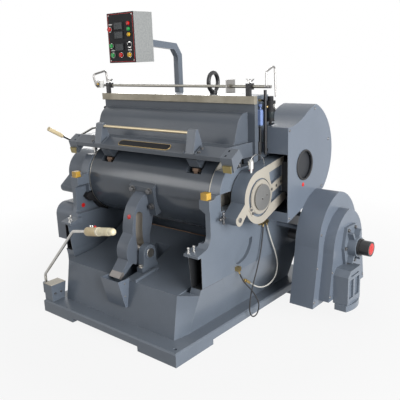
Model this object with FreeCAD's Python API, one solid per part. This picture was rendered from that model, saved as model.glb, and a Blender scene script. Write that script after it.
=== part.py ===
import FreeCAD, Part
import math
import os

# Platen creasing and die-cutting press, closed. Millimetres, Z up. X runs across the machine from its
# middle, Y runs back from the front edge of the base, Z runs up from the floor. Every piece is shifted
# on export so that the origin is the middle of the anchor holes at floor level.

V = FreeCAD.Vector

# Running and seating clearances
running_fit = 0.3
slide_gap = 0.3
side_gap = 1.0

# Base casting
base_width = 1194.0
base_depth = 1500.0
base_height = 80.0
foot_width = 300.0
foot_length = 320.0
foot_height = 30.0
base_edge = 8.0
anchor_inset = 42.0
anchor_hole_r = 11.0

# Side frames, which carry the guideways and the shafts
frame_inner = 532.0
frame_thick = 72.0
frame_outer = frame_inner + frame_thick
frame_back = 1290.0
frame_top = 1100.0
column_gap = 5.0
flare_height = 380.0
flare_inset = 100.0
ledge_z = 580.0
ledge_front = 202.0
ledge_back = 281.0
ledge_drop = 8.0
ledge_rise = 12.0
wall_foot = 215.0
wall_front = 223.0
wall_front_z = 366.0
horn_front = 313.0
horn_seat_z = 858.0
pocket_wall = 5.0
pocket_low = 376.0
pocket_back = 420.0
lip_reach = 30.0
lip_back = 300.0
ledge_thick = 14.0
horn_wall = 34.0
relief_low = 612.0
relief_high = 782.0
relief_front = 190.0
relief_back = 560.0
leaf_y = 600.0
leaf_z = 470.0
leaf_depth = 22.0

# Journal axis of the platen, and its rolling travel
journal_y = 655.0
journal_z = 825.0
roll_per_radian = 270.0
open_angle = 40.0
travel = roll_per_radian * math.radians(open_angle)

# Guideway in each side frame
block_half_length = 52.0
block_half_height = 50.0
trunnion_r = 40.0
trunnion_flange_r = 70.0
guide_low = journal_z - block_half_height - slide_gap
guide_high = journal_z + block_half_height + slide_gap
guide_front = journal_y - travel - block_half_length - side_gap
cap_height = 118.0
cap_overhang = 9.0
pad_length = 40.0
pad_width = 50.0
pad_height = 40.0
pad_edge = 7.0

# Front body under the platen
body_side_gap = 46.0
body_half = frame_inner - body_side_gap
body_front = 108.0
body_shelf_front = 150.0
body_shelf_z = 335.0
bend_run = 190.0
bend_rise = 22.0
sweep_run = 150.0
sweep_rise = 68.0
body_back = 660.0
body_back_z = 500.0
body_wall = 36.0
pit_half = 62.0
pit_back = 560.0
pit_floor = 92.0
strip_x = 146.0
strip_width = 13.0
strip_height = 15.0

# Waste chute on the front
chute_left = -58.0
chute_right = 100.0
chute_reach = 62.0
chute_top = 350.0
chute_bottom = 172.0
chute_wall = 4.0

# Fixed guide pin and its bearing blocks
pin_y = 322.0
pin_z = 462.0
pin_r = 27.0
pin_block_in = 64.0
pin_block_out = 112.0
pin_boss_r = 50.0
pin_block_foot = 70.0

# Platen
plate_front = 700.0
plate_thick = 30.0
plate_back = plate_front + plate_thick
column_front = plate_back + column_gap
plate_overhang = 36.0
plate_half = frame_outer + plate_overhang
plate_low = 592.0
plate_top = 1345.0
drum_r = 245.0
cap_r = drum_r + cap_overhang
drum_side_gap = 7.0
drum_half = frame_inner - drum_side_gap
plate_inset = 5.0
beam_low = 1047.0
beam_top = 1128.0
beam_front = 395.0
beam_lip_z = 1086.0
beam_crest = 462.0
beam_overhang = 18.0
beam_half = frame_outer + beam_overhang
back_inset = 50.0
back_half = plate_half - back_inset
back_top = 1298.0
lug_x = 376.0
lug_width = 78.0
lug_drop = 47.0
window_width = 112.0
window_drop = 85.0
block_reach = 77.0
block_low = 1006.0
block_nose_y = 416.0
top_bar_height = 45.0
top_bar_overhang = 8.0
top_bar_half = plate_half + top_bar_overhang
post_x = 398.0
post_thick = 62.0
feed_rod_r = 9.0
feed_rod_y = 440.0
feed_rod_z = 1200.0

# Guide arm bolted to the drum
bracket_half = 103.0
arm_half = 45.0
slot_clear = 0.8
slot_over_angle = 20.0

# Connecting rods, sleeves and crank
rod_side_gap = 8.0
rod_inner = frame_outer + rod_side_gap
rod_thick = 96.0
rod_outer = rod_inner + rod_thick
rod_eye_r = 158.0
hub_length = 160.0
hub_outer = rod_outer + hub_length
sleeve_r = 78.0
sleeve_rim_r = 98.0
sleeve_cap_r = 76.0
sleeve_cap_thick = 12.0
spanner_hole_r = 6.0
groove_r = 112.0
groove_depth_rod = 9.0
ear_y = 449.0
ear_z = 736.0
ear_r = 36.0
ear_hole_r = 14.0
recess_depth = 22.0
strap_gap = 4.0
strap_inner = rod_outer + strap_gap
strap_thick = 64.0
strap_outer = strap_inner + strap_thick
strap_eye_r = 85.0
crank_y = 1050.0
crank_z = 960.0
crank_radius = travel / 2
crank_pin_r = 40.0
crank_disc_r = 137.0
disc_side_gap = 12.0
crank_disc_in = frame_outer + disc_side_gap
crank_disc_out = strap_inner - disc_side_gap

# Gear train
main_shaft_r = 50.0
main_gear_half = 40.0
main_module = 10.0
main_teeth = 48
main_pinion_teeth = 13
bull_module = 8.0
bull_teeth = 44
bull_pinion_teeth = 13
bull_setback = 90.0
bull_inner = frame_inner - bull_setback
bull_width = 76.0
layshaft_r = 30.0

# Flywheel shaft, flywheel, motor and belts
fly_y = 1160.0
fly_z = 450.0
fly_shaft_r = 36.0
shaft_tail = 70.0
fly_width = 80.0
fly_r = 238.0
fly_hub_r = 80.0
fly_rim = 46.0
clutch_r = 150.0
groove_count = 3
groove_pitch = 25.0
groove_width = 16.0
groove_depth = 14.0
belt_width = 13.0
belt_thick = 11.0
motor_y = 1385.0
motor_z = 195.0
motor_r = 92.0
motor_length = 210.0
motor_side_gap = 20.0
pulley_r = 65.0
motor_shaft_r = 19.0

# Sheet-metal covers
sheet = 4.0
strap_room = 14.0
gear_cover_outer = strap_outer + strap_room
motor_inner = gear_cover_outer - motor_side_gap - motor_length
gear_cover_front = 815.0
cover_foot = 640.0
cover_brow = 1205.0
cover_step = 44.0
step_gap = 6.0
cover_step_z = frame_top + step_gap
cover_reach = 44.0
shoulder_gap = 6.0
port_r = 84.0
port_rim = 8.0
port_setback = 45.0
hood_front = 300.0
hood_back = 560.0
hood_low = 400.0
hood_high = 652.0
rod_window_low = 700.0
rod_window_top = 1050.0
cover_inner = gear_cover_outer
fly_setback = 60.0
fly_inner = cover_inner + fly_setback
fly_room = 20.0
cover_outer = fly_inner + fly_width + fly_room
cover_half = 318.0
cover_low = 115.0
cover_top = 782.0
clutch_depth = 68.0
clutch_outer = cover_outer + clutch_depth
fly_shaft_end = clutch_outer + shaft_tail
clutch_half = 246.0
clutch_low = 150.0
clutch_top = 680.0
bearing_plate_thick = 20.0
bearing_boss_r = 62.0
union_r = 46.0
union_length = 76.0
valve_width = 96.0
valve_setback = 190.0
valve_length = 170.0
valve_low = 130.0
valve_height = 215.0

# Fixed bed and its chase
die_gap = 8.0
chase_thick = 22.0
chase_border = 46.0
chase_side_gap = 8.0
chase_low = 640.0
chase_high = 1340.0
bed_front = plate_back + die_gap + chase_thick
bed_plate_thick = 35.0
bed_depth = 140.0
bed_back = bed_front + bed_depth
cover_shoulder = bed_back + shoulder_gap
bed_top = 1385.0
bed_low = 388.0
bed_side_gap = 4.0
bed_lower_half = frame_inner - bed_side_gap
bed_upper_half = frame_outer - bed_side_gap
eye_x = 231.0
eye_setback = 82.0
eye_r = 58.0
eye_bar_r = 13.0

# Safety bar on the platen's top edge
bar_setback = 18.0
bar_y = plate_front + bar_setback
bar_lift = 52.0
bar_z = plate_top + top_bar_height + bar_lift
bar_r = 9.0
bar_reach_left = 32.0
bar_reach_right = 98.0
bar_left = -plate_half - bar_reach_left
bar_right = plate_half + bar_reach_right
bracket_inset = 50.0
bracket_x = top_bar_half - bracket_inset
flag_x = 458.0

# Control box on its post
post_y = 1210.0
post_half = 22.5
post_wall = 4.0
post_foot_half = 34.0
post_foot_length = 130.0
post_foot_thick = 14.0
arm_rise = 126.0
arm_drop = 25.0
elbow_run = 44.0
elbow_drop = 65.0
box_side_gap = 166.0
box_right = box_side_gap - frame_inner
box_width = 262.0
box_left = box_right - box_width
box_front = 762.0
box_depth = 172.0
box_back = box_front + box_depth
box_low = 1592.0
box_height = 330.0
box_high = box_low + box_height
box_wall = 3.0
panel_thick = 4.0
button_r = 11.0
button_stem_r = 8.0

# Hanging cords
cable_r = 4.0
hose_r = 4.5
tube_r = 3.6
riser_r = 6.5
column_r = 9.0
column_side_gap = 41.0
column_x = frame_outer + column_side_gap
column_y = 800.0
clip_depth = 23.0
clip_low = 608.0
clip_top = 636.0
gland_depth = 26.0

# Clutch lever at the left front
lever_y = 44.0
lever_rod_r = 9.5
lever_block_inset = 85.0
lever_block_width = 80.0
lever_block_right = lever_block_inset - base_width / 2
lever_block_left = lever_block_right - lever_block_width
lever_block_front = 12.0
lever_block_top = 192.0
lever_pivot_gap = 24.0
lever_pivot_x = lever_block_left - lever_pivot_gap
lever_pivot_z = 150.0
lever_shaft_r = 14.0
lever_knee_run = 354.0
lever_knee_rise = 456.0
lever_end_run = 506.0
lever_end_rise = 482.0
grip_r = 27.0
tip_r = 21.0


def straight(plane, start, steps):
    """Edges of a closed outline; a step is a point, or a pair (through, end) for an arc."""
    edges = []
    here = plane(start)
    for step in steps:
        if isinstance(step[0], tuple):
            there = plane(step[1])
            edges.append(Part.Arc(here, plane(step[0]), there).toShape())
        else:
            there = plane(step)
            edges.append(Part.LineSegment(here, there).toShape())
        here = there
    if here.distanceToPoint(plane(start)) > 1e-6:
        edges.append(Part.LineSegment(here, plane(start)).toShape())
    return edges


def slab(x0, x1, start, *steps):
    """Solid between two X planes whose outline lies in Y and Z."""
    edges = straight(lambda p: V(x0, p[0], p[1]), start, steps)
    return Part.Face(Part.Wire(edges)).extrude(V(x1 - x0, 0, 0))


def across(y0, y1, start, *steps):
    """Solid between two Y planes whose outline lies in X and Z."""
    edges = straight(lambda p: V(p[0], y0, p[1]), start, steps)
    return Part.Face(Part.Wire(edges)).extrude(V(0, y1 - y0, 0))


def upright(z0, z1, start, *steps):
    """Solid between two Z planes whose outline lies in X and Y."""
    edges = straight(lambda p: V(p[0], p[1], z0), start, steps)
    return Part.Face(Part.Wire(edges)).extrude(V(0, 0, z1 - z0))


def box(x0, x1, y0, y1, z0, z1):
    """Plain block between two corners."""
    return Part.makeBox(x1 - x0, y1 - y0, z1 - z0, V(x0, y0, z0))


def round_x(x0, x1, y, z, r):
    """Cylinder along X."""
    return Part.makeCylinder(r, x1 - x0, V(x0, y, z), V(1, 0, 0))


def round_y(y0, y1, x, z, r):
    """Cylinder along Y."""
    return Part.makeCylinder(r, y1 - y0, V(x, y0, z), V(0, 1, 0))


def round_z(z0, z1, x, y, r):
    """Cylinder along Z."""
    return Part.makeCylinder(r, z1 - z0, V(x, y, z0), V(0, 0, 1))


def mirrored(shape):
    """The same piece on the other side of the machine."""
    return shape.mirror(V(0, 0, 0), V(1, 0, 0))


def pair(shape):
    """A piece on the right and its twin on the left."""
    return Part.makeCompound([shape, mirrored(shape)])


def softened(shape, radius, keep):
    """Fillet the edges that the test picks."""
    edges = [edge for edge in shape.Edges if keep(edge)]
    return shape.makeFillet(radius, edges)


def along(edge, axis):
    """True for a straight edge that runs along an axis."""
    if not isinstance(edge.Curve, Part.Line):
        return False
    return abs(edge.Curve.Direction.dot(axis)) > 0.999


def on_circle(centre_y, centre_z, r, degrees):
    """Point on a circle about an X axis; 0 points back and 90 points up."""
    angle = math.radians(degrees)
    return (centre_y + r * math.cos(angle), centre_z + r * math.sin(angle))


def from_journal(*offsets):
    """Points given by their distance back from and up from the platen's journal."""
    return [(journal_y + y, journal_z + z) for y, z in offsets]


def from_crank(y, z):
    """Point given by its distance back from and up from the main shaft."""
    return crank_y + y, crank_z + z


def from_pin(y, z):
    """Point given by its distance back from and up from the fixed guide pin."""
    return pin_y + y, pin_z + z


def export(node, shape):
    """Write one node, with the origin under the middle of the base."""
    placed = shape.copy()
    placed.translate(V(0, -base_depth / 2, 0))
    placed.exportStep("parts/" + node + ".step")


def gear(x0, x1, y, z, teeth, module, phase):
    """Spur gear about an X axis, with teeth that thin towards the tip."""
    pitch_r = teeth * module / 2
    tip_r = pitch_r + 0.85 * module
    root_r = pitch_r - 1.15 * module
    step = 2 * math.pi / teeth
    corners = ((-0.33, root_r), (-0.11, tip_r), (0.11, tip_r), (0.33, root_r))
    points = []
    for tooth in range(teeth):
        for share, radius in corners:
            angle = phase + (tooth + share) * step
            points.append(V(x0, y + radius * math.cos(angle), z + radius * math.sin(angle)))
    return Part.Face(Part.makePolygon(points + points[:1])).extrude(V(x1 - x0, 0, 0))


def meshing(from_y, from_z, to_y, to_z, teeth):
    """Phases that set a tooth of one gear in a gap of the other, on the line between them."""
    angle = math.atan2(to_z - from_z, to_y - from_y)
    return angle, angle + math.pi + math.pi / teeth


def layshaft_place():
    """Axis of the layshaft, at both meshing distances and in front of the line of the other two."""
    to_crank = main_module * (main_teeth + main_pinion_teeth) / 2
    to_fly = bull_module * (bull_teeth + bull_pinion_teeth) / 2
    gap_y = fly_y - crank_y
    gap_z = fly_z - crank_z
    gap = math.hypot(gap_y, gap_z)
    share = (to_crank ** 2 - to_fly ** 2 + gap ** 2) / (2 * gap)
    off = math.sqrt(to_crank ** 2 - share ** 2)
    y = crank_y + (gap_y * share + gap_z * off) / gap
    z = crank_z + (gap_z * share - gap_y * off) / gap
    return y, z


lay_y, lay_z = layshaft_place()


def make_base():
    """Base plate on four corner feet, with anchor holes and the motor shelf."""
    half = base_width / 2
    plate = box(-half, half, 0, base_depth, foot_height, base_height)
    top_edges = [e for e in plate.Edges if e.BoundBox.ZMin > base_height - 1]
    plate = plate.makeChamfer(base_edge, top_edges)
    for x in (-half, half - foot_width):
        for y in (0, base_depth - foot_length):
            plate = plate.fuse(box(x, x + foot_width, y, y + foot_length, 0, foot_height))
    shelf_back = motor_y + motor_r
    shelf = box(half, motor_inner + motor_length, motor_y - motor_r, shelf_back, foot_height, base_height)
    plate = plate.fuse(shelf)
    for x in (anchor_inset - half, half - anchor_inset):
        for y in (anchor_inset, base_depth - anchor_inset):
            plate = plate.cut(round_z(-1, base_height + 1, x, y, anchor_hole_r))
    export("base_plate", plate.removeSplitter())


def shelf_line(inset):
    """Front body outline in Y and Z, drawn in by a wall."""
    low = base_height
    front = body_front + inset
    lip = (body_shelf_front + inset, body_shelf_z - inset)
    bend = (body_shelf_front + bend_run + inset / 2, body_shelf_z + bend_rise - inset)
    sweep = (body_back - sweep_run, body_shelf_z + sweep_rise - inset)
    end = (body_back - inset, body_back_z - inset)
    return (front, low), lip, bend, (sweep, end), (body_back - inset, low)


def make_front_body():
    """Front casting: leaning face, shelf that sweeps up at the back, and the pit of the guide arm."""
    start, *rest = shelf_line(0)
    body = slab(-body_half, body_half, start, *rest)
    start, *rest = shelf_line(body_wall)
    hollow = slab(pit_half + body_wall, body_half - body_wall, start, *rest)
    body = body.cut(hollow).cut(mirrored(hollow))
    body = body.cut(box(-pit_half, pit_half, 0, pit_back, chute_bottom + 8, body_back_z + 100))
    body = body.cut(box(-pit_half, pit_half, body_shelf_front, pit_back, pit_floor, body_back_z))
    strip_low = body_shelf_z - 12
    strip = slab(strip_x, strip_x + strip_width, (body_shelf_front, strip_low),
                 (body_shelf_front, body_shelf_z + strip_height),
                 (body_shelf_front + bend_run, body_shelf_z + bend_rise + strip_height),
                 (body_shelf_front + bend_run, body_shelf_z + 8))
    wing = body_wing()
    wall = side_wall()
    body = body.fuse([strip, wing, mirrored(wing)]).cut(wall).cut(mirrored(wall))
    export("front_body", body.removeSplitter())


def body_wing():
    """Slanted wing that carries the front body's corner out to the foot of the right side frame."""
    lean = flare_inset * (flare_height - body_shelf_z) / (flare_height - base_height)
    rings = []
    for front, reach, z in ((body_front, flare_inset, base_height), (body_shelf_front, lean, body_shelf_z)):
        foot = wall_foot + (wall_front - wall_foot) * (z - base_height) / (wall_front_z - base_height)
        corners = [V(body_half, front, z), V(frame_outer - reach, foot, z), V(body_half, foot, z)]
        rings.append(Part.makePolygon(corners + corners[:1]))
    return Part.makeLoft(rings, True, True)


def side_wall():
    """Right side frame as one plain wall: horn, front notch, guideway, column and flared foot."""
    low = base_height
    profile = slab(frame_outer - flare_inset - frame_thick, frame_outer, (wall_foot, low),
                   (wall_front, wall_front_z),
                   (ledge_front, ledge_z - ledge_drop), (ledge_back, ledge_z + ledge_rise),
                   ((horn_front - 4, ledge_z + 48), (horn_front + 5, ledge_z + 100)),
                   (horn_front + 5, horn_seat_z - 88), (horn_front, horn_seat_z - 46),
                   (horn_front, horn_seat_z),
                   (horn_front + pad_length + 4, horn_seat_z),
                   (horn_front + pad_length + 24, guide_high), (guide_front, guide_high),
                   (guide_front, guide_low), (column_front, guide_low), (column_front, frame_top),
                   (frame_back, frame_top), (frame_back, low))
    section = across(0, frame_back + 1, (frame_outer, frame_top + 1), (frame_outer, flare_height),
                     (frame_outer - flare_inset, low), (frame_inner - flare_inset, low),
                     (frame_inner, flare_height), (frame_inner, frame_top + 1))
    return profile.common(section)


def make_side_frame(side):
    """Side frame with its ledge pocket and shaft bores."""
    wall = side_wall()
    brow = ledge_z - ledge_drop
    crest = ledge_z + ledge_rise
    roof = brow - ledge_thick
    open_front = ledge_front - 12
    pocket_in = frame_inner + pocket_wall
    wall = wall.cut(box(pocket_in, frame_outer - pocket_wall, open_front, pocket_back, pocket_low, roof))
    wall = wall.cut(box(pocket_in, frame_outer + 1, open_front, wall_front + 9, pocket_low, roof))
    lip = slab(frame_inner - lip_reach, frame_inner, (ledge_front, roof), (ledge_front, brow),
               (ledge_back, crest), (lip_back, crest), (lip_back, roof))
    wall = wall.fuse(lip)
    skin = frame_outer - horn_wall
    rail = guide_low - 22
    near = guide_front - 8
    for back, high, top in ((near, relief_high, relief_high + 26), (relief_back, rail - 26, rail)):
        relief = across(relief_front, back, (frame_inner - 1, relief_low), (skin - 20, relief_low),
                        ((skin - 6, relief_low + 6), (skin, relief_low + 20)), (skin, high),
                        (frame_inner - 1, top))
        wall = wall.cut(relief)
    tip = (leaf_y - 77, leaf_z - 14)
    leaf = slab(frame_outer - leaf_depth, frame_outer + 1, tip,
                ((leaf_y, leaf_z + 58), (leaf_y + 114, leaf_z + 81)),
                ((leaf_y + 84, leaf_z), (leaf_y - 4, leaf_z - 50)), ((leaf_y - 52, leaf_z - 46), tip))
    wall = wall.cut(leaf)
    wall = wall.cut(round_x(0, frame_outer + 1, crank_y, crank_z, main_shaft_r + running_fit))
    wall = wall.cut(round_x(0, frame_outer + 1, lay_y, lay_z, layshaft_r + running_fit))
    if side == "right":
        wall = wall.cut(round_x(0, frame_outer + 1, fly_y, fly_z, fly_shaft_r + running_fit))
    else:
        wall = mirrored(wall)
    export(side + "_side_frame", wall.removeSplitter())


def make_guide_caps():
    """Caps that close the guideways, with the round front of the drum."""
    top = guide_high + cap_height
    low_front = journal_y - math.sqrt(cap_r ** 2 - (guide_high - journal_z) ** 2)
    high_front = journal_y - math.sqrt(cap_r ** 2 - (top - journal_z) ** 2)
    middle = (guide_high + top) / 2
    through = (journal_y - math.sqrt(cap_r ** 2 - (middle - journal_z) ** 2), middle)
    cap = slab(frame_inner, frame_outer, (low_front, guide_high), (through, (high_front, top)),
               (column_front - 40, top), (column_front, top - 40), (column_front, guide_high))
    export("guide_caps", pair(cap))


def make_stop_pads():
    """Soft stop pads on the horns."""
    pad = box(frame_inner + 8, frame_inner + 8 + pad_width, horn_front, horn_front + pad_length,
              horn_seat_z, horn_seat_z + pad_height)
    pad = softened(pad, pad_edge, lambda e: along(e, V(0, 1, 0)) or along(e, V(0, 0, 1)))
    export("stop_pads", pair(pad))


def make_guide_pin():
    """Fixed pin that the slot of the guide arm rides on, and its two bearing blocks."""
    foot_z = body_shelf_z + 20
    front = pin_y - pin_block_foot
    back = pin_y + pin_block_foot
    left_side = on_circle(pin_y, pin_z, pin_boss_r, 165)
    right_side = on_circle(pin_y, pin_z, pin_boss_r, 15)
    crown = (pin_y, pin_z + pin_boss_r)
    block = slab(pin_block_in, pin_block_out, (front, foot_z), (front, foot_z + 22),
                 (pin_y - pin_boss_r - 6, foot_z + 30), left_side, (crown, right_side),
                 (pin_y + pin_boss_r + 6, foot_z + 34), (back, foot_z + 22), (back, foot_z))
    ground = shelf_line(0)
    floor = slab(-body_half, body_half, ground[0], *ground[1:])
    sole = box(pin_block_in, pin_block_out, front, back, body_shelf_z - 20, foot_z)
    block = block.fuse(sole).cut(floor)
    collar = round_x(pin_block_out, pin_block_out + 7, pin_y, pin_z, pin_boss_r - 9)
    block = block.fuse(collar)
    bore = round_x(0, pin_block_out + 10, pin_y, pin_z, pin_r)
    block = block.cut(bore).removeSplitter()
    pin = round_x(-pin_block_out - 3, pin_block_out + 3, pin_y, pin_z, pin_r)
    export("pivot_blocks", Part.makeCompound([block, mirrored(block), pin]))


def make_waste_chute():
    """Tapered sheet-metal chute on the front face."""
    lean = (body_shelf_front - body_front) / (body_shelf_z - base_height)
    face_top = body_front + lean * (chute_top - base_height)
    face_low = body_front + lean * (chute_bottom - base_height)
    outer = slab(chute_left, chute_right, (chute_reach, chute_top), (face_top, chute_top),
                 (face_low, chute_bottom), (face_low - 16, chute_bottom))
    inner = slab(chute_left + chute_wall, chute_right - chute_wall,
                 (chute_reach + chute_wall, chute_top + 1), (face_top + 20, chute_top + 1),
                 (face_low + 20, chute_bottom + chute_wall), (face_low - 10, chute_bottom + chute_wall))
    export("waste_chute", outer.cut(inner))


def drum_round():
    """Round front of the platen, from the plate's foot up to the beam."""
    reach = plate_front - journal_y
    low_z = journal_z - math.sqrt(drum_r ** 2 - reach ** 2)
    rise = beam_low - journal_z
    top_y = journal_y - math.sqrt(drum_r ** 2 - rise ** 2)
    return slab(-drum_half, drum_half, (plate_front, low_z), ((journal_y - drum_r, journal_z),
                (top_y, beam_low)), (plate_front, beam_low))


def make_platen():
    """Platen casting: plate, round drum, front beam, sloped back, and what is bolted on."""
    high = slab(-plate_half, plate_half, (plate_front, beam_low), (plate_front, plate_top),
                (plate_back, plate_top), (plate_back, beam_low))
    low_half = drum_half - plate_inset
    low = slab(-low_half, low_half, (plate_front, plate_low), (plate_front, beam_low),
               (plate_back, beam_low), (plate_back, plate_low))
    export("platen_plate", high.fuse(low).removeSplitter())

    drum = drum_round()
    core_r = drum_r - 55
    core = round_x(-drum_half + 60, drum_half - 60, journal_y - 20, journal_z, core_r - 40)
    drum = drum.cut(core)
    for x in (-lug_x, lug_x):
        drum = drum.cut(box(x - window_width / 2, x + window_width / 2, beam_front - 15, beam_front + 125,
                            beam_low - window_drop, beam_low + 1))
    export("platen_drum", drum)

    beam = slab(-beam_half, beam_half, (beam_front + 60, beam_low), (beam_front + 8, beam_lip_z - 26),
                (beam_front, beam_lip_z), (beam_crest, beam_top), (plate_front, beam_top),
                (plate_front, beam_low))
    lug = slab(lug_x - lug_width / 2, lug_x + lug_width / 2, (beam_front + 45, beam_low),
               (beam_front + 72, beam_low - lug_drop), (beam_front + 115, beam_low - lug_drop - 15),
               (beam_front + 123, beam_low))
    for piece in (lug, mirrored(lug)):
        beam = beam.fuse(piece)
    export("platen_beam", beam.removeSplitter())

    back = slab(-back_half, back_half, (plate_front - 138, beam_top), (plate_front - 100, back_top - 65),
                ((plate_front - 76, back_top - 25), (plate_front - 32, back_top)),
                (plate_front, back_top), (plate_front, beam_top))
    export("platen_back", back)

    end = beam_half + block_reach
    block = slab(beam_half, end, (beam_front, beam_lip_z), (beam_crest, beam_top),
                 (beam_crest + 34, beam_top - 48), (block_nose_y, block_low))
    tilt = math.atan2(beam_top - beam_lip_z, beam_crest - beam_front)
    for reach in (18, 58):
        foot = V(beam_half + 24, beam_front + reach * math.cos(tilt), beam_lip_z + reach * math.sin(tilt))
        hole = Part.makeCylinder(8, 60, foot, V(0, -math.sin(tilt), math.cos(tilt)))
        hole.translate(V(0, 22 * math.sin(tilt), -22 * math.cos(tilt)))
        block = block.cut(hole)
    pad = slab(beam_half + 12, end - 9, (beam_front + 11, beam_lip_z - 42), (block_nose_y, block_low),
               (block_nose_y - 12, block_low - 3), (beam_front - 1, beam_lip_z - 45))
    pad = pad.cut(block)
    export("end_blocks", Part.makeCompound([block, mirrored(block), pad, mirrored(pad)]))

    flange = round_x(drum_half, frame_inner - side_gap, journal_y, journal_z, trunnion_flange_r)
    right = round_x(drum_half, rod_outer + 2, journal_y, journal_z, trunnion_r).fuse(flange).removeSplitter()
    left = round_x(drum_half, hub_outer + 2, journal_y, journal_z, trunnion_r).fuse(flange).removeSplitter()
    export("trunnions", Part.makeCompound([right, mirrored(left)]))

    foot_rise = (beam_top - beam_lip_z) / (beam_crest - beam_front)
    rail_foot = slab(post_x - post_thick / 2, post_x + post_thick / 2,
                     (beam_front + 6, beam_lip_z + 6 * foot_rise),
                     (feed_rod_y - 13, feed_rod_z + 16), (feed_rod_y + 6, feed_rod_z + 22),
                     (feed_rod_y + 34, feed_rod_z - 50), (feed_rod_y + 40, beam_top), (beam_crest, beam_top))
    rail = round_x(-post_x + post_thick / 2, post_x - post_thick / 2, feed_rod_y, feed_rod_z, feed_rod_r)
    export("feed_rail", Part.makeCompound([rail_foot, mirrored(rail_foot), rail]))

    bar = box(-top_bar_half, top_bar_half, plate_front - 18, plate_back - 16,
              plate_top, plate_top + top_bar_height)
    bar = bar.makeChamfer(3, [e for e in bar.Edges if along(e, V(1, 0, 0))])
    export("top_bar", bar)

    seat = plate_top + top_bar_height
    holder = box(bracket_x - 14, bracket_x + 14, bar_y - 26, bar_y - 6, seat, bar_z + 16)
    hold = box(bracket_x - 14, bracket_x + 14, bar_y - 26, bar_y + 18, bar_z - 18, bar_z + 18)
    holder = holder.fuse(hold).cut(round_x(bracket_x - 20, bracket_x + 20, bar_y, bar_z, bar_r + running_fit))
    holder = holder.fuse(round_z(bar_z + 18, bar_z + 40, bracket_x, bar_y, 6))
    export("bar_brackets", pair(holder.removeSplitter()))


def pin_in_platen(degrees):
    """Where the fixed pin lies in the platen's own frame when the platen is open by an angle."""
    angle = math.radians(degrees)
    y = pin_y - journal_y + roll_per_radian * angle
    z = pin_z - journal_z
    turned_y = y * math.cos(angle) + z * math.sin(angle)
    turned_z = z * math.cos(angle) - y * math.sin(angle)
    return V(0, journal_y + turned_y, journal_z + turned_z)


def arm_slot():
    """Curved slot that follows the pin over the whole travel."""
    half = pin_r + slot_clear
    steps = 9
    first = -1.0
    last = open_angle + slot_over_angle
    angles = [first + (last - first) * i / (steps - 1) for i in range(steps)]
    centres = [pin_in_platen(a) for a in angles]
    fronts = []
    backs = []
    for a, c in zip(angles, centres):
        tangent = (pin_in_platen(a + 0.5) - pin_in_platen(a - 0.5)).normalize()
        normal = V(0, -tangent.z, tangent.y)
        fronts.append(c + normal * half)
        backs.append(c - normal * half)
    down = (centres[0] - centres[1]).normalize()
    up = (centres[-1] - centres[-2]).normalize()
    front_curve = Part.BSplineCurve()
    front_curve.interpolate(fronts)
    back_curve = Part.BSplineCurve()
    back_curve.interpolate(backs)
    edges = [front_curve.toShape(), Part.Arc(fronts[-1], centres[-1] + up * half, backs[-1]).toShape(),
             back_curve.toShape(), Part.Arc(backs[0], centres[0] + down * half, fronts[0]).toShape()]
    face = Part.Face(Part.Wire(Part.__sortEdges__(edges)))
    face.translate(V(-arm_half - 1, 0, 0))
    return face.extrude(V(2 * arm_half + 2, 0, 0))


def make_guide_arm():
    """Bracket on the drum and the curved, slotted arm that hangs from it."""
    corners = from_journal((-250, -149), (-270, 26), (-237, 51), (-135, 51), (-135, -125), (-203, -133))
    bracket = slab(-bracket_half, bracket_half, *corners)
    export("arm_bracket", bracket.cut(drum_round()).removeSplitter())
    neck, swell, front, belly = from_journal((-269, -7), (-325, -43), (-359, -80), (-387, -145))
    arm = slab(-arm_half, arm_half, neck, (swell, front), (belly, from_pin(-68, 122)), from_pin(-94, 92),
               (from_pin(-124, 42), from_pin(-122, -30)), from_pin(-204, -120), from_pin(-188, -132),
               from_pin(-84, -60), (from_pin(8, -74), from_pin(62, -22)),
               (from_pin(76, 38), from_pin(72, 86)), (from_pin(96, 150), from_pin(114, 210)),
               from_pin(118, 258))
    arm = arm.cut(bracket).cut(drum_round())
    export("guide_arm", arm.cut(arm_slot()).removeSplitter())


def crank_pin_place():
    """Crank pin axis when the press is closed, in line with journal and main shaft."""
    slope = math.atan2(crank_z - journal_z, crank_y - journal_y)
    return crank_y + crank_radius * math.cos(slope), crank_z + crank_radius * math.sin(slope), slope


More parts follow.
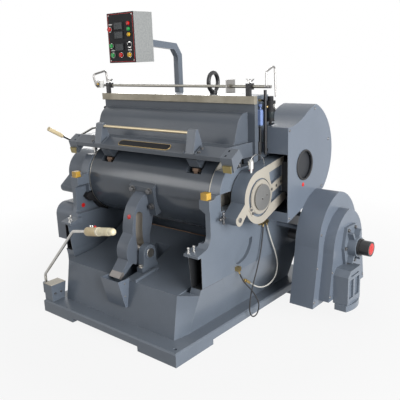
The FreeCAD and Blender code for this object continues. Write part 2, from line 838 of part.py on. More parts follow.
def make_rods():
    """Connecting rods, slide blocks, eccentric sleeves and oil cups, which travel with the journals."""
    left = on_circle(journal_y, journal_z, rod_eye_r, 157)
    neck = on_circle(journal_y, journal_z, rod_eye_r, 184)
    notch = on_circle(journal_y, journal_z, rod_eye_r, 207.5)
    under = on_circle(journal_y, journal_z, rod_eye_r, 265)
    low = on_circle(journal_y, journal_z, rod_eye_r, 286.5)
    ear = [on_circle(ear_y, ear_z, ear_r, a) for a in (158, 245, 332)]
    top = on_circle(journal_y, journal_z, rod_eye_r, 98.4)
    tail = from_journal((270, -68), (257, 43), (242, 125), (250, 201))
    rod = slab(rod_inner, rod_outer, top, (left, neck), ear[0], (ear[1], ear[2]), notch, (under, low),
               tail[0], tail[1], (tail[2], tail[3]))
    floor = rod_outer - recess_depth
    upper = slab(floor, rod_outer + 1, *from_journal((111, 51), (305, 108), (305, 167), (87, 127), (95, 90)))
    lower = slab(floor, rod_outer + 1, *from_journal((119, 1), (305, 57), (305, -3), (101, -61)))
    rod = rod.cut(upper).cut(lower)
    plain = rod
    groove = round_x(rod_outer - groove_depth_rod, rod_outer + 1, journal_y - 7, journal_z - 2, groove_r)
    groove = groove.cut(round_x(rod_outer - 50, rod_outer + 2, journal_y, journal_z, sleeve_rim_r + 3))
    rod = rod.cut(groove)
    segment = slab(rod_outer - groove_depth_rod, rod_outer + 3, on_circle(journal_y, journal_z, 101, 202),
                   on_circle(journal_y, journal_z, 134, 202), on_circle(journal_y, journal_z, 134, 226),
                   on_circle(journal_y, journal_z, 101, 226))
    rod = rod.fuse(segment)
    for y, z in from_journal((115, 22), (165, 34), (213, 50)):
        rod = rod.cut(round_x(rod_outer - 9, rod_outer + 1, y, z, 9))
    eye_y, eye_z, slope = crank_pin_place()
    turn = math.degrees(slope)
    foot, head = from_journal((225, -13), (225, 167))
    rounds = [on_circle(eye_y, eye_z, strap_eye_r, turn + a) for a in (88, 0, -88)]
    strap = slab(strap_inner, strap_outer, foot, head, rounds[0], (rounds[1], rounds[2]))
    strap = strap.cut(round_x(strap_inner - 1, strap_outer + 1, eye_y, eye_z, crank_pin_r + running_fit))
    shim = slab(floor, strap_inner, foot, head, *from_journal((253, 175), (253, -5)))
    bounds = from_journal((45, -125), (45, 195), (253, 199), (253, -65))
    shim = shim.common(slab(rod_inner, strap_outer, *bounds))
    hub = round_x(rod_inner, hub_outer, journal_y, journal_z, rod_eye_r)
    boss = slab(rod_inner, hub_outer, left, neck, ear[0], (ear[1], ear[2]), notch, (journal_y, journal_z))
    long_rod = plain.fuse([shim, strap, hub, boss])
    long_rod = long_rod.cut(round_x(rod_inner - 1, hub_outer + 1, journal_y, journal_z, sleeve_r))
    long_rod = long_rod.cut(round_x(rod_inner - 1, hub_outer + 1, ear_y, ear_z, ear_hole_r)).removeSplitter()
    rod = rod.fuse([shim, strap])
    rod = rod.cut(round_x(rod_inner - 1, rod_outer + 1, journal_y, journal_z, sleeve_r))
    rod = rod.cut(round_x(rod_inner - 1, rod_outer + 1, ear_y, ear_z, ear_hole_r)).removeSplitter()
    export("right_connecting_rod", rod)
    export("left_connecting_rod", mirrored(long_rod))

    block = box(frame_inner + 2, frame_outer - 2, journal_y - block_half_length,
                journal_y + block_half_length, journal_z - block_half_height, journal_z + block_half_height)
    block = block.cut(round_x(0, frame_outer, journal_y, journal_z, trunnion_r + running_fit))
    export("slide_blocks", pair(block))

    export("eccentric_sleeves", Part.makeCompound([sleeve(rod_outer), mirrored(sleeve(hub_outer))]))

    cup_x = rod_outer - 30
    cup_y = journal_y - 52
    seat_z = journal_z + math.sqrt(rod_eye_r ** 2 - 52 ** 2)
    cup = round_z(seat_z - 8, seat_z + 22, cup_x, cup_y, 9)
    cup = cup.fuse(round_z(seat_z + 22, seat_z + 62, cup_x, cup_y, 17))
    cup = cup.fuse(Part.makeCone(17, 9, 14, V(cup_x, cup_y, seat_z + 62)))
    eye = round_x(rod_inner, rod_outer, journal_y, journal_z, rod_eye_r)
    export("oil_cups", pair(cup.cut(eye).removeSplitter()))


def sleeve(face):
    """Eccentric sleeve on a journal, with its rim and cap outside a rod's face."""
    tube = round_x(rod_inner, face + 4, journal_y, journal_z, sleeve_r)
    rim = round_x(face, face + 4, journal_y, journal_z, sleeve_rim_r)
    cap = round_x(face + 4, face + 4 + sleeve_cap_thick, journal_y, journal_z, sleeve_cap_r)
    tube = tube.fuse([cap, rim])
    tube = tube.cut(round_x(rod_inner - 1, face + 3, journal_y, journal_z, trunnion_r + running_fit))
    for y, z in ((journal_y - 6, journal_z - 10), (journal_y + 40, journal_z + 4)):
        tube = tube.cut(round_x(face + 8, face + 30, y, z, spanner_hole_r))
    return tube.removeSplitter()


def make_gear_train():
    """Main shaft with crank discs, the layshaft, and the pinion shaft of the flywheel."""
    main_phase, pinion_phase = meshing(crank_y, crank_z, lay_y, lay_z, main_pinion_teeth)
    pin_y_closed, pin_z_closed, slope = crank_pin_place()
    shaft = round_x(-crank_disc_out, crank_disc_out, crank_y, crank_z, main_shaft_r)
    disc = round_x(crank_disc_in, crank_disc_out, crank_y, crank_z, crank_disc_r)
    stub = round_x(crank_disc_out, strap_inner - side_gap, pin_y_closed, pin_z_closed, crank_pin_r)
    web = disc.fuse(stub)
    wheel = gear(-main_gear_half, main_gear_half, crank_y, crank_z, main_teeth, main_module, main_phase)
    export("main_shaft", shaft.fuse([web, mirrored(web), wheel]).removeSplitter())

    pinion = gear(-main_gear_half - 3, main_gear_half + 3, lay_y, lay_z, main_pinion_teeth, main_module,
                  pinion_phase)
    bull_phase, drive_phase = meshing(lay_y, lay_z, fly_y, fly_z, bull_pinion_teeth)
    bull = gear(bull_inner, bull_inner + bull_width, lay_y, lay_z, bull_teeth, bull_module, bull_phase)
    shaft = round_x(-frame_outer, frame_outer, lay_y, lay_z, layshaft_r)
    export("layshaft", shaft.fuse([pinion, bull]).removeSplitter())

    drive = gear(bull_inner - 3, bull_inner + bull_width + 3, fly_y, fly_z, bull_pinion_teeth,
                 bull_module, drive_phase)
    spindle = round_x(bull_inner - 10, fly_shaft_end, fly_y, fly_z, fly_shaft_r)
    export("pinion_shaft", spindle.fuse(drive).removeSplitter())


def grooved_wheel(x0, width, y, z, r, bore, hub_r, rim):
    """Wheel about an X axis with belt grooves, a web and a hub."""
    wheel = round_x(x0, x0 + width, y, z, r)
    middle = x0 + width / 2
    for i in range(groove_count):
        centre = middle + (i - (groove_count - 1) / 2) * groove_pitch
        ring = round_x(centre - groove_width / 2, centre + groove_width / 2, y, z, r + 1)
        ring = ring.cut(round_x(centre - groove_width, centre + groove_width, y, z, r - groove_depth))
        wheel = wheel.cut(ring)
    if rim:
        for start, end in ((x0 - 1, x0 + width * 0.3), (x0 + width * 0.7, x0 + width + 1)):
            dish = round_x(start, end, y, z, r - rim).cut(round_x(start, end, y, z, hub_r))
            wheel = wheel.cut(dish)
    return wheel.cut(round_x(x0 - 1, x0 + width + 1, y, z, bore))


def make_drive():
    """Flywheel with its clutch drum, motor, pulley and belts."""
    bore = fly_shaft_r + running_fit
    fly = grooved_wheel(fly_inner, fly_width, fly_y, fly_z, fly_r, bore, fly_hub_r, fly_rim)
    drum_face = fly_inner + fly_width
    clutch = round_x(drum_face, clutch_outer - 14, fly_y, fly_z, fly_hub_r)
    clutch = clutch.fuse(round_x(drum_face + 28, clutch_outer - 24, fly_y, fly_z, clutch_r))
    clutch = clutch.cut(round_x(drum_face - 1, clutch_outer, fly_y, fly_z, fly_shaft_r + running_fit))
    export("flywheel", fly.fuse(clutch).removeSplitter())

    end = motor_inner + motor_length
    case = round_x(motor_inner + 30, end - 22, motor_y, motor_z, motor_r - 8)
    for i in range(16):
        fin = box(motor_inner + 40, end - 34, motor_y - 3, motor_y + 3, motor_z + motor_r - 20,
                  motor_z + motor_r)
        fin.rotate(V(0, motor_y, motor_z), V(1, 0, 0), 22.5 * i)
        case = case.fuse(fin)
    case = case.fuse(round_x(motor_inner, motor_inner + 30, motor_y, motor_z, motor_r))
    case = case.fuse(round_x(end - 22, end, motor_y, motor_z, motor_r + 8))
    case = case.fuse(box(motor_inner + 50, end - 50, motor_y - 80, motor_y + 80, base_height,
                         base_height + 40))
    case = case.fuse(box(motor_inner + 60, end - 60, motor_y - 35, motor_y + 35, motor_z + 60, motor_z + 128))
    case = case.cut(round_x(end - 60, end + 1, motor_y, motor_z, motor_shaft_r + running_fit))
    export("motor", case.removeSplitter())

    pulley = grooved_wheel(fly_inner, fly_width, motor_y, motor_z, pulley_r, 1, 30, 0)
    pulley = pulley.fuse(round_x(end - 50, fly_inner + fly_width, motor_y, motor_z, motor_shaft_r))
    export("motor_pulley", pulley.removeSplitter())

    belts = []
    middle = fly_inner + fly_width / 2
    for i in range(groove_count):
        centre = middle + (i - (groove_count - 1) / 2) * groove_pitch
        outer = belt_loop(centre, belt_thick + slide_gap)
        belts.append(outer.cut(belt_loop(centre, slide_gap)))
    export("drive_belts", Part.makeCompound(belts))


def belt_loop(centre, lift):
    """Filled belt outline at one groove, lifted off the groove's floor."""
    big = fly_r - groove_depth + lift
    small = pulley_r - groove_depth + lift
    gap = math.hypot(motor_y - fly_y, motor_z - fly_z)
    way = math.degrees(math.atan2(motor_z - fly_z, motor_y - fly_y))
    lean = math.degrees(math.acos((big - small) / gap))
    start = on_circle(fly_y, fly_z, big, way + lean)
    far = on_circle(fly_y, fly_z, big, way + 180)
    end = on_circle(fly_y, fly_z, big, way - lean)
    return slab(centre - belt_width / 2, centre + belt_width / 2, start, (far, end),
                on_circle(motor_y, motor_z, small, way - lean),
                (on_circle(motor_y, motor_z, small, way), on_circle(motor_y, motor_z, small, way + lean)))


def crank_cover_shape(x0, x1, inset):
    """Ogee-topped crank cover outline, drawn in by a wall."""
    front = gear_cover_front if inset == 0 else gear_cover_front - 20
    return slab(x0, x1, (front, cover_foot + inset), (front, cover_brow - inset),
                (from_crank(-140, 259 - inset), from_crank(-52, 294 - inset)),
                (from_crank(16, 330 - inset), from_crank(92, 353 - inset)),
                (from_crank(302 - inset, 60), from_crank(198 - inset, -190 + inset)))


def cover_part(x0, x1, low, high):
    """Crank cover outline between two heights."""
    return crank_cover_shape(x0, x1, 0).common(box(x0, x1, crank_y - 350, crank_y + 350, low, high))


def make_crank_covers():
    """Sheet-metal crank covers, open at the front for the connecting rods, and the left hood."""
    step = cover_step_z
    inner = frame_outer + cover_step
    reach = frame_outer - cover_reach
    skin = gear_cover_outer - sheet
    shoulder = cover_shoulder + sheet
    floor = cover_foot - 40
    far, sky = from_crank(350, 440)
    behind = box(reach, gear_cover_outer, cover_shoulder, far, step - sheet, sky)
    room_behind = box(reach, gear_cover_outer, shoulder, far, step, sky)
    shell = cover_part(frame_outer, gear_cover_outer, floor, step)
    shell = shell.fuse([cover_part(inner, gear_cover_outer, step - sheet, sky),
                        cover_part(reach, gear_cover_outer, step - sheet, sky).common(behind)])
    below = box(frame_outer - 1, gear_cover_outer, crank_y - 350, far, floor, step - sheet)
    shell = shell.cut(crank_cover_shape(frame_outer - 1, skin, sheet).common(below))
    shell = shell.cut(crank_cover_shape(inner + sheet, skin, sheet))
    shell = shell.cut(crank_cover_shape(reach + sheet, skin, sheet).common(room_behind))
    through = box(frame_outer, gear_cover_outer, shoulder, far, step - sheet - 1, step + 1)
    shell = shell.cut(crank_cover_shape(frame_outer, skin, sheet).common(through))
    back = gear_cover_front + sheet
    front = box(frame_outer, gear_cover_outer, gear_cover_front, back, rod_window_top, step)
    brow = box(inner, gear_cover_outer, gear_cover_front, back, step - sheet, sky)
    front = front.fuse(cover_part(inner, gear_cover_outer, step - sheet, sky).common(brow))
    sill = box(frame_outer, gear_cover_outer, gear_cover_front, back, cover_foot, rod_window_low)
    sill = sill.common(cover_part(frame_outer, gear_cover_outer, floor, step))
    shell = shell.fuse([front, sill])
    port_y = crank_y - port_setback
    hole = round_x(gear_cover_outer - 20, gear_cover_outer + 20, port_y, crank_z, port_r)
    ring = round_x(skin, gear_cover_outer + 5, port_y, crank_z, port_r + port_rim).cut(hole)
    right = shell.cut(hole).fuse(ring).removeSplitter()
    export("right_crank_cover", right)
    export("left_crank_cover", mirrored(right))
    crook = (hood_front + 90, hood_high)
    hood = slab(-gear_cover_outer, -frame_outer, (hood_front, hood_low), (hood_front, hood_high - 92),
                ((hood_front + 24, hood_high - 24), crook), (hood_back, hood_high), (hood_back, hood_low))
    inside = hood_front + sheet
    under = hood_high - sheet
    room = slab(sheet - gear_cover_outer, 1 - frame_outer, (inside, hood_low - 10), (inside, hood_high - 92),
                ((hood_front + 27, hood_high - 27), (hood_front + 90, under)), (hood_back - sheet, under),
                (hood_back - sheet, hood_low - 10))
    export("left_side_guard", hood.cut(room))


def arch(x0, x1, half, low, top, inset):
    """Arched guard outline with flared sides, drawn in by a wall."""
    shoulder_half = half * 0.80 - inset
    shoulder = low + (top - low) * 0.55
    crown_half = half * 0.60 - inset
    crown = low + (top - low) * 0.83
    base_half = half - inset
    return slab(x0, x1, (fly_y - base_half, low + inset), (fly_y - shoulder_half, shoulder),
                ((fly_y - crown_half, crown - inset * 0.5), (fly_y, top - inset)),
                ((fly_y + crown_half, crown - inset * 0.5), (fly_y + shoulder_half, shoulder)),
                (fly_y + base_half, low + inset))


def bearing_plate(thick):
    """Six-sided plate on the clutch cover about the flywheel shaft."""
    upper = [(fly_y - 64, fly_z + 128), (fly_y + 64, fly_z + 128), (fly_y + 96, fly_z)]
    lower = [(fly_y + 64, fly_z - 128), (fly_y - 64, fly_z - 128), (fly_y - 96, fly_z)]
    return slab(clutch_outer, clutch_outer + thick, *upper, *lower)


def make_flywheel_guard():
    """Flywheel cover, clutch cover, outboard bearing and the valve box under it."""
    big = arch(cover_inner, cover_outer, cover_half, cover_low, cover_top, 0)
    big = big.cut(arch(cover_inner + sheet, cover_outer - sheet, cover_half, cover_low, cover_top, sheet))
    big = big.cut(round_x(cover_inner - 1, cover_inner + 10, fly_y, fly_z, fly_shaft_r + 24))
    big = big.cut(round_x(cover_inner - 1, cover_inner + 10, motor_y, motor_z, motor_shaft_r + 14))
    for y, z in ((fly_y - 160, fly_z + 110), (fly_y + 102, fly_z + 110)):
        big = big.fuse(round_x(frame_outer, cover_inner, y, z, 14))
    opening = arch(cover_outer - 20, cover_outer + 20, clutch_half, clutch_low, clutch_top, sheet)
    export("flywheel_cover", big.cut(opening))
    small = arch(cover_outer, clutch_outer, clutch_half, clutch_low, clutch_top, 0)
    small = small.cut(arch(cover_outer - 1, clutch_outer - sheet, clutch_half, clutch_low, clutch_top, sheet))
    small = small.cut(round_x(clutch_outer - 20, clutch_outer + 20, fly_y, fly_z, fly_shaft_r + 6))
    export("clutch_cover", small)

    plate = bearing_plate(bearing_plate_thick)
    flange = clutch_outer + bearing_plate_thick
    bearing = plate.fuse(round_x(flange, fly_shaft_end + 4, fly_y, fly_z, bearing_boss_r))
    for angle in (60, 120, 240, 300):
        web = box(flange, flange + 38, fly_y + 40, fly_y + 112, fly_z - 7, fly_z + 7)
        web.rotate(V(0, fly_y, fly_z), V(1, 0, 0), angle)
        bearing = bearing.fuse(web.common(bearing_plate(bearing_plate_thick + 40)))
    bore = fly_shaft_r + running_fit
    bearing = bearing.cut(round_x(clutch_outer - 1, fly_shaft_end + 2, fly_y, fly_z, bore))
    union = round_x(fly_shaft_end + 4, fly_shaft_end + 4 + union_length, fly_y, fly_z, union_r)
    lip = round_x(fly_shaft_end + 4, fly_shaft_end + 18, fly_y, fly_z, union_r + 7)
    union = union.fuse(lip).removeSplitter()
    export("outboard_bearing", Part.makeCompound([bearing.removeSplitter(), union]))

    left = clutch_outer
    right = clutch_outer + valve_width
    front = fly_y - valve_setback
    back = front + valve_length
    top = valve_low + valve_height
    housing = box(left, right, front, back, valve_low, top)
    slope = slab(left - 1, right + 1, (front - 10, top + 1), (front - 10, top - 45), (front + 34, top + 1))
    housing = housing.cut(slope)
    for y in (front + 18, front + 96):
        housing = housing.cut(box(right - 14, right + 1, y, y + 56, valve_low + 38, top - 59))
    housing = housing.cut(box(right - 10, right + 1, front + 40, back - 28, top - 41, top - 29))
    foot = upright(valve_low - 38, valve_low, (left + 14, front - 6), (right - 6, front - 6),
                   ((right + 14, (front + back) / 2), (right - 6, back + 6)), (left + 14, back + 6))
    export("valve_box", housing.fuse(foot).cut(plate).removeSplitter())


def make_bed():
    """Fixed bed with its ribs, and the chase that holds the die."""
    face = across(bed_front, bed_front + bed_plate_thick, (-bed_lower_half, bed_low),
                  (bed_lower_half, bed_low), (bed_lower_half, frame_top), (bed_upper_half, frame_top),
                  (bed_upper_half, bed_top),
                  (-bed_upper_half, bed_top), (-bed_upper_half, frame_top), (-bed_lower_half, frame_top))
    back = bed_front + bed_plate_thick
    for x in (-360, -200, 200, 360):
        rib = slab(x - 14, x + 14, (back, bed_low + 60), (back, bed_top), (bed_back, bed_top),
                   (bed_back, frame_top - 100), (bed_back - 40, bed_low + 60))
        face = face.fuse(rib)
    flange = box(bed_upper_half - 34, bed_upper_half, back, bed_back, frame_top, bed_top)
    face = face.fuse([flange, mirrored(flange)])
    face = face.fuse(box(-bed_upper_half, bed_upper_half, back, bed_back, bed_top - 40, bed_top))
    export("bed", face.removeSplitter())

    half = bed_lower_half - chase_side_gap
    hole = half - chase_border
    chase = box(-half, half, bed_front - chase_thick, bed_front, chase_low, chase_high)
    chase = chase.cut(box(-hole, hole, bed_front - chase_thick - 1, bed_front + 1, chase_low + chase_border,
                          chase_high - chase_border))
    export("die_chase", chase)

    eye_y = bed_front + eye_setback
    ring = Part.makeTorus(eye_r, eye_bar_r, V(eye_x, eye_y, bed_top + eye_r + 16), V(1, 0, 0))
    ring.rotate(V(eye_x, eye_y, bed_top), V(0, 0, 1), 9)
    foot = round_z(bed_top, bed_top + eye_bar_r * 2, eye_x, eye_y, 24)
    export("lifting_eye", ring.fuse(foot).removeSplitter())


def make_controls():
    """Control post, box, panel, buttons and selector."""
    x = box_right - post_half - post_wall
    foot_top = base_height + post_foot_thick
    bend_z = box_low + arm_rise - arm_drop
    route = ((box_back - post_wall, box_low + arm_rise), (post_y - elbow_run, bend_z),
             (post_y, bend_z - elbow_drop))
    bore = post_half - post_wall
    tube = slab(x - post_half, x + post_half, *bar_outline(route + ((post_y, base_height),), post_half))
    tube = tube.cut(slab(x - bore, x + bore, *bar_outline(route + ((post_y, foot_top),), bore)))
    tube = tube.cut(box(box_left, box_right, box_front, box_back, box_low, box_high))
    foot = box(x - post_foot_half, x + post_foot_half, post_y - post_foot_length / 2,
               post_y + post_foot_length / 2, base_height, foot_top)
    for y in (post_y - post_foot_length / 2 + 20, post_y + post_foot_length / 2 - 20):
        foot = foot.cut(round_z(base_height - 1, foot_top + 1, x, y, 6))
    export("control_post", tube.fuse(foot).removeSplitter())

    case = box(box_left, box_right, box_front, box_back, box_low, box_high)
    case = case.cut(box(box_left + box_wall, box_right - box_wall, box_front - 1, box_back - box_wall,
                        box_low + box_wall, box_high - box_wall))
    export("control_box", case)
    panel = box(box_left, box_right, box_front - panel_thick, box_front, box_low, box_high)
    spots = button_spots()
    hole_r = button_stem_r + slide_gap
    for x, z in spots.values():
        panel = panel.cut(round_y(box_front - panel_thick - 1, box_front + 1, x, z, hole_r))
    lamps = []
    for i in range(3):
        lamp = round_y(box_front - panel_thick - 12, box_front - panel_thick, box_right - 50,
                       box_high - 74 - 36 * i, 11)
        lamps.append(softened(lamp, 5, lambda e: e.BoundBox.YMax < box_front - panel_thick - 6))
    meters = [box(box_left + 70, box_left + 158, box_front - panel_thick - 6, box_front - panel_thick,
                  low, low + 52) for low in (box_high - 112, box_high - 172, box_high - 252)]
    export("control_panel", Part.makeCompound([panel] + lamps + meters))
    for name, (x, z) in spots.items():
        face = box_front - panel_thick
        stem = round_y(face - 6, box_front + 22, x, z, button_stem_r)
        if name == "selector_knob":
            head = round_y(face - 7, face - 1, x, z, 15)
            grip = box(x - 5, x + 5, face - 22, face - 7, z - 14, z + 14)
            grip = softened(grip, 3, lambda e: along(e, V(0, 1, 0)))
            knob = stem.fuse([head, grip])
        else:
            head = round_y(face - 16, face - 6, x, z, button_r)
            head = softened(head, 3, lambda e: e.BoundBox.YMax < face - 12)
            knob = stem.fuse(head)
        export(name, knob.removeSplitter())


def bar_outline(points, half):
    """Closed outline of a bar of even width along straight runs in Y and Z."""
    ways = []
    for (y0, z0), (y1, z1) in zip(points, points[1:]):
        length = math.hypot(y1 - y0, z1 - z0)
        ways.append(((y1 - y0) / length, (z1 - z0) / length))
    upper = []
    lower = []
    for i, (y, z) in enumerate(points):
        before = ways[max(i - 1, 0)]
        after = ways[min(i, len(ways) - 1)]
        mitre = half / (1 + before[0] * after[0] + before[1] * after[1])
        off_y = -(before[1] + after[1]) * mitre
        off_z = (before[0] + after[0]) * mitre
        upper.append((y + off_y, z + off_z))
        lower.append((y - off_y, z - off_z))
    return upper + lower[::-1]


def button_spots():
    """Middles of the push buttons and the selector on the panel."""
    bottom = box_low + 52
    return {
        "stop_button": (box_left + 26, box_high - 106),
        "start_button": (box_left + 32, box_high - 216),
        "inch_button": (box_left + 44, bottom),
        "reset_button": (box_left + 128, bottom),
        "count_button": (box_left + 212, bottom),
        "selector_knob": (box_right - 48, box_high - 212),
    }


def bent_rod(points, r, bend):
    """Round rod along straight runs with bent corners."""
    edges = []
    here = points[0]
    for i in range(1, len(points) - 1):
        corner = points[i]
        back = (points[i - 1] - corner).normalize()
        ahead = (points[i + 1] - corner).normalize()
        half = back.getAngle(ahead) / 2
        cut = bend / math.tan(half)
        first = corner + back * cut
        last = corner + ahead * cut
        inward = (back + ahead).normalize()
        middle = corner + inward * (bend / math.sin(half) - bend)
        edges.append(Part.LineSegment(here, first).toShape())
        edges.append(Part.Arc(first, middle, last).toShape())
        here = last
    edges.append(Part.LineSegment(here, points[-1]).toShape())
    path = Part.Wire(edges)
    ring = Part.Wire(Part.makeCircle(r, points[0], points[1] - points[0]))
    return path.makePipeShell([ring], True, False)


def make_lever():
    """Clutch lever on its bracket at the left front corner."""
    rear = body_front - 2
    block = box(lever_block_left, lever_block_right, lever_block_front, rear, base_height, lever_block_top)
    bore_r = lever_shaft_r + running_fit
    block = block.cut(round_x(lever_block_left - 1, lever_block_left + 60, lever_y, lever_pivot_z, bore_r))
    seat = slab(lever_block_left, lever_block_right, (rear, base_height), (rear, lever_block_top),
                (rear + 20, lever_block_top), (body_front, base_height))
    export("lever_bracket", block.fuse(seat).removeSplitter())

    hub = round_z(lever_pivot_z - 34, lever_pivot_z + 36, lever_pivot_x, lever_y, 21)
    shaft = round_x(lever_pivot_x, lever_block_left + 54, lever_y, lever_pivot_z, lever_shaft_r)
    points = [V(lever_pivot_x, lever_y, lever_pivot_z + 30), V(lever_pivot_x, lever_y, lever_pivot_z + 92),
              V(lever_pivot_x + lever_knee_run, lever_y, lever_pivot_z + lever_knee_rise),
              V(lever_pivot_x + lever_end_run, lever_y, lever_pivot_z + lever_end_rise)]
    rod = bent_rod(points, lever_rod_r, 38)
    start = points[-1]
    way = (points[-1] - points[-2]).normalize()
    grip = Part.makeCylinder(grip_r, 104, start - way * 10, way)
    neck = Part.makeCone(grip_r, tip_r, 16, start + way * 94, way)
    tip = Part.makeCylinder(tip_r, 108, start + way * 110, way)
    knob = Part.makeSphere(tip_r, start + way * 218)
    handle = grip.fuse([neck, tip, knob]).cut(rod).removeSplitter()
    lever = hub.fuse([shaft, rod]).removeSplitter()
    export("clutch_lever", Part.makeCompound([lever, handle]))


def make_hand_lever():
    """Hand lever on the outside of the left crank cover."""
    x = -gear_cover_outer
    pivot_y, pivot_z = from_crank(-120, 160)
    boss = round_x(x - 26, x, pivot_y, pivot_z, 22)
    bends = [V(x - 16, pivot_y + y, pivot_z + z) for y, z in ((-18, 4), (-230, 12), (-430, -54), (-510, -8))]
    rod = bent_rod(bends, 8, 40)
    bends = [V(x - 16, pivot_y + y, pivot_z + z) for y, z in ((-505, -11), (-547, 14), (-612, 52))]
    grip = bent_rod(bends, 15, 30)
    export("hand_lever", boss.fuse([rod, grip]).removeSplitter())


def make_safety_bar():
    """Safety bar along the platen's top edge, with its hand loops and tilted plate."""
    bar = round_x(bar_left, bar_right, bar_y, bar_z, bar_r)
    right = bent_rod([V(bar_right - 8, bar_y, bar_z), V(bar_right - 8, bar_y - 36, bar_z),
                      V(bar_right - 8, bar_y - 36, bar_z + 82), V(bar_right - 8, bar_y + 48, bar_z + 112),
                      V(bar_right - 8, bar_y + 60, bar_z - 60)], 5, 14)
    left = bent_rod([V(bar_left + 8, bar_y, bar_z), V(bar_left + 8, bar_y - 70, bar_z - 4),
                     V(bar_left + 8, bar_y - 92, bar_z + 76), V(bar_left + 8, bar_y + 26, bar_z + 100),
                     V(bar_left + 8, bar_y + 34, bar_z + 22)], 7, 18)
    plate = box(flag_x - 3, flag_x + 3, bar_y - 38, bar_y + 38, bar_z - 40, bar_z + 40)
    plate.rotate(V(flag_x, bar_y, bar_z), V(0, 0, 1), -5)
    case = box(bar_left - 20, bar_left + 22, bar_y - 44, bar_y - 10, bar_z - 16, bar_z + 34)
    export("safety_bar", bar.fuse([right, left, plate, case]).removeSplitter())


def make_air_unit():
    """Air regulator and limit switch on the bed's right side."""
    x = bed_upper_half
    y = bed_back - 38
    head = bed_top - 33
    body = round_z(head - 62, head, x + 40, y, 30)
    top = round_z(head, head + 26, x + 40, y, 18)
    bowl = Part.makeCone(24, 19, 58, V(x + 40, y, head - 120))
    drain = round_z(head - 138, head - 120, x + 40, y, 8)
    arm = box(x, x + 14, y - 16, y + 16, head - 52, head - 12)
    export("air_regulator", body.fuse([top, bowl, drain, arm]).removeSplitter())
    lid = bed_top - 79
    case = box(x, x + 34, bed_front + 6, bed_front + 62, lid - 90, lid)
    case = softened(case, 6, lambda e: along(e, V(1, 0, 0)))
    roller = round_x(x + 8, x + 22, bed_front + 34, lid + 24, 9)
    stem = round_z(lid, lid + 20, x + 15, bed_front + 34, 5)
    export("limit_switch", case.fuse([roller, stem]).removeSplitter())


def cord_path(points, r):
    """Cord along straight runs with tangent arcs; prints the smallest bend and the length."""
    edges = []
    here = points[0]
    length = 0
    tightest = 1e9
    for i in range(1, len(points) - 1):
        corner = points[i]
        back = points[i - 1] - corner
        ahead = points[i + 1] - corner
        cut = 0.45 * min(back.Length, ahead.Length)
        half_turn = (math.pi - back.getAngle(ahead)) / 2
        bend = cut / math.tan(half_turn)
        tightest = min(tightest, bend)
        first = corner + back.normalize() * cut
        last = corner + ahead.normalize() * cut
        inward = (back + ahead).normalize()
        middle = corner + inward * (bend / math.cos(half_turn) - bend)
        edges.append(Part.LineSegment(here, first).toShape())
        edges.append(Part.Arc(first, middle, last).toShape())
        here = last
    edges.append(Part.LineSegment(here, points[-1]).toShape())
    path = Part.Wire(edges)
    ring = Part.Wire(Part.makeCircle(r, points[0], points[1] - points[0]))
    cord = path.makePipeShell([ring], True, False)
    print("cord length", round(path.Length, 1), "smallest bend", round(tightest, 1),
          "volume ratio", round(cord.Volume / (math.pi * r * r * path.Length), 4))
    return cord


def make_cords():
    """Hanging cable and air hose beside the right side frame, with their clips and fittings."""
    side = frame_outer
    cable = [V(side + 12, 817, 612), V(side + 15, 800, 512), V(side + 18, 768, 412),
             V(side + 20, 724, 320), V(side + 22, 674, 232), V(side + 24, 642, 140), V(side + 26, 640, 78),
             V(side + 30, 666, 42), V(side + 34, 704, 46), V(side + 38, 722, 82), V(side + 41, 716, 128),
             V(side + 42, 686, 178), V(side + 40, 646, 232), V(side + 33, 600, 282),
             V(side + 24, 566, 330), V(side + 14, 548, 388)]
    hose = [V(side + 12, 849, 612), V(side + 16, 870, 536), V(side + 21, 902, 456), V(side + 25, 940, 372),
            V(side + 28, 956, 292), V(side + 28, 930, 228), V(side + 26, 872, 196), V(side + 22, 800, 194),
            V(side + 12, 732, 216), V(side - 4, 684, 258)]
    wire = cord_path(cable, cable_r)
    pipe = cord_path(hose, hose_r)
    export("signal_cable", wire)
    export("air_hose", pipe)
    block = box(frame_outer, frame_outer + clip_depth, cable[0].y - 41, hose[0].y + 13, clip_low, clip_top)
    block = block.cut(wire).cut(pipe)
    gland = box(frame_outer, frame_outer + gland_depth, cable[-1].y - 16, cable[-1].y + 12, cable[-1].z - 2,
                cable[-1].z + 24).cut(wire)
    join_z = rod_window_top - 8
    front_y = column_y - 16
    back_y = column_y - 2
    tubes = [round_z(clip_top, join_z, frame_outer + tube_r, y, tube_r) for y in (front_y, back_y)]
    riser = round_z(join_z, join_z + 162, frame_outer + riser_r + 0.5, back_y, riser_r)
    riser = riser.fuse(round_z(join_z, join_z + 78, frame_outer + 5.5, front_y, 5))
    riser = riser.fuse(box(frame_outer, frame_outer + 10, front_y - 4, back_y + 4, join_z + 6, join_z + 22))
    column = round_z(join_z + 3, bed_top + 33, column_x, column_y, column_r)
    low_tie = box(column_x - 8, column_x + 8, column_y, gear_cover_front, join_z + 18, join_z + 38)
    high_tie = box(bed_upper_half, column_x, column_y - 6, column_y + 6, bed_top - 33, bed_top - 21)
    column = column.fuse(low_tie).fuse(high_tie)
    tubes = [tubes[0].fuse([tubes[1], riser]).removeSplitter(), column.removeSplitter()]
    way = (hose[-1] - hose[-2]).normalize()
    spigot = Part.makeCylinder(9, 34, hose[-1], way)
    nut = round_x(side - 64, side - 18, hose[-1].y + way.y * 24, hose[-1].z + way.z * 24, 11)
    low = base_height
    solid = across(0, frame_back, (frame_outer, frame_top), (frame_outer, flare_height),
                   (frame_outer - flare_inset, low), (0, low), (0, frame_top))
    spigot = spigot.fuse(nut).cut(solid).removeSplitter()
    export("cord_fittings", Part.makeCompound([block, gland, spigot.cut(pipe)] + tubes))


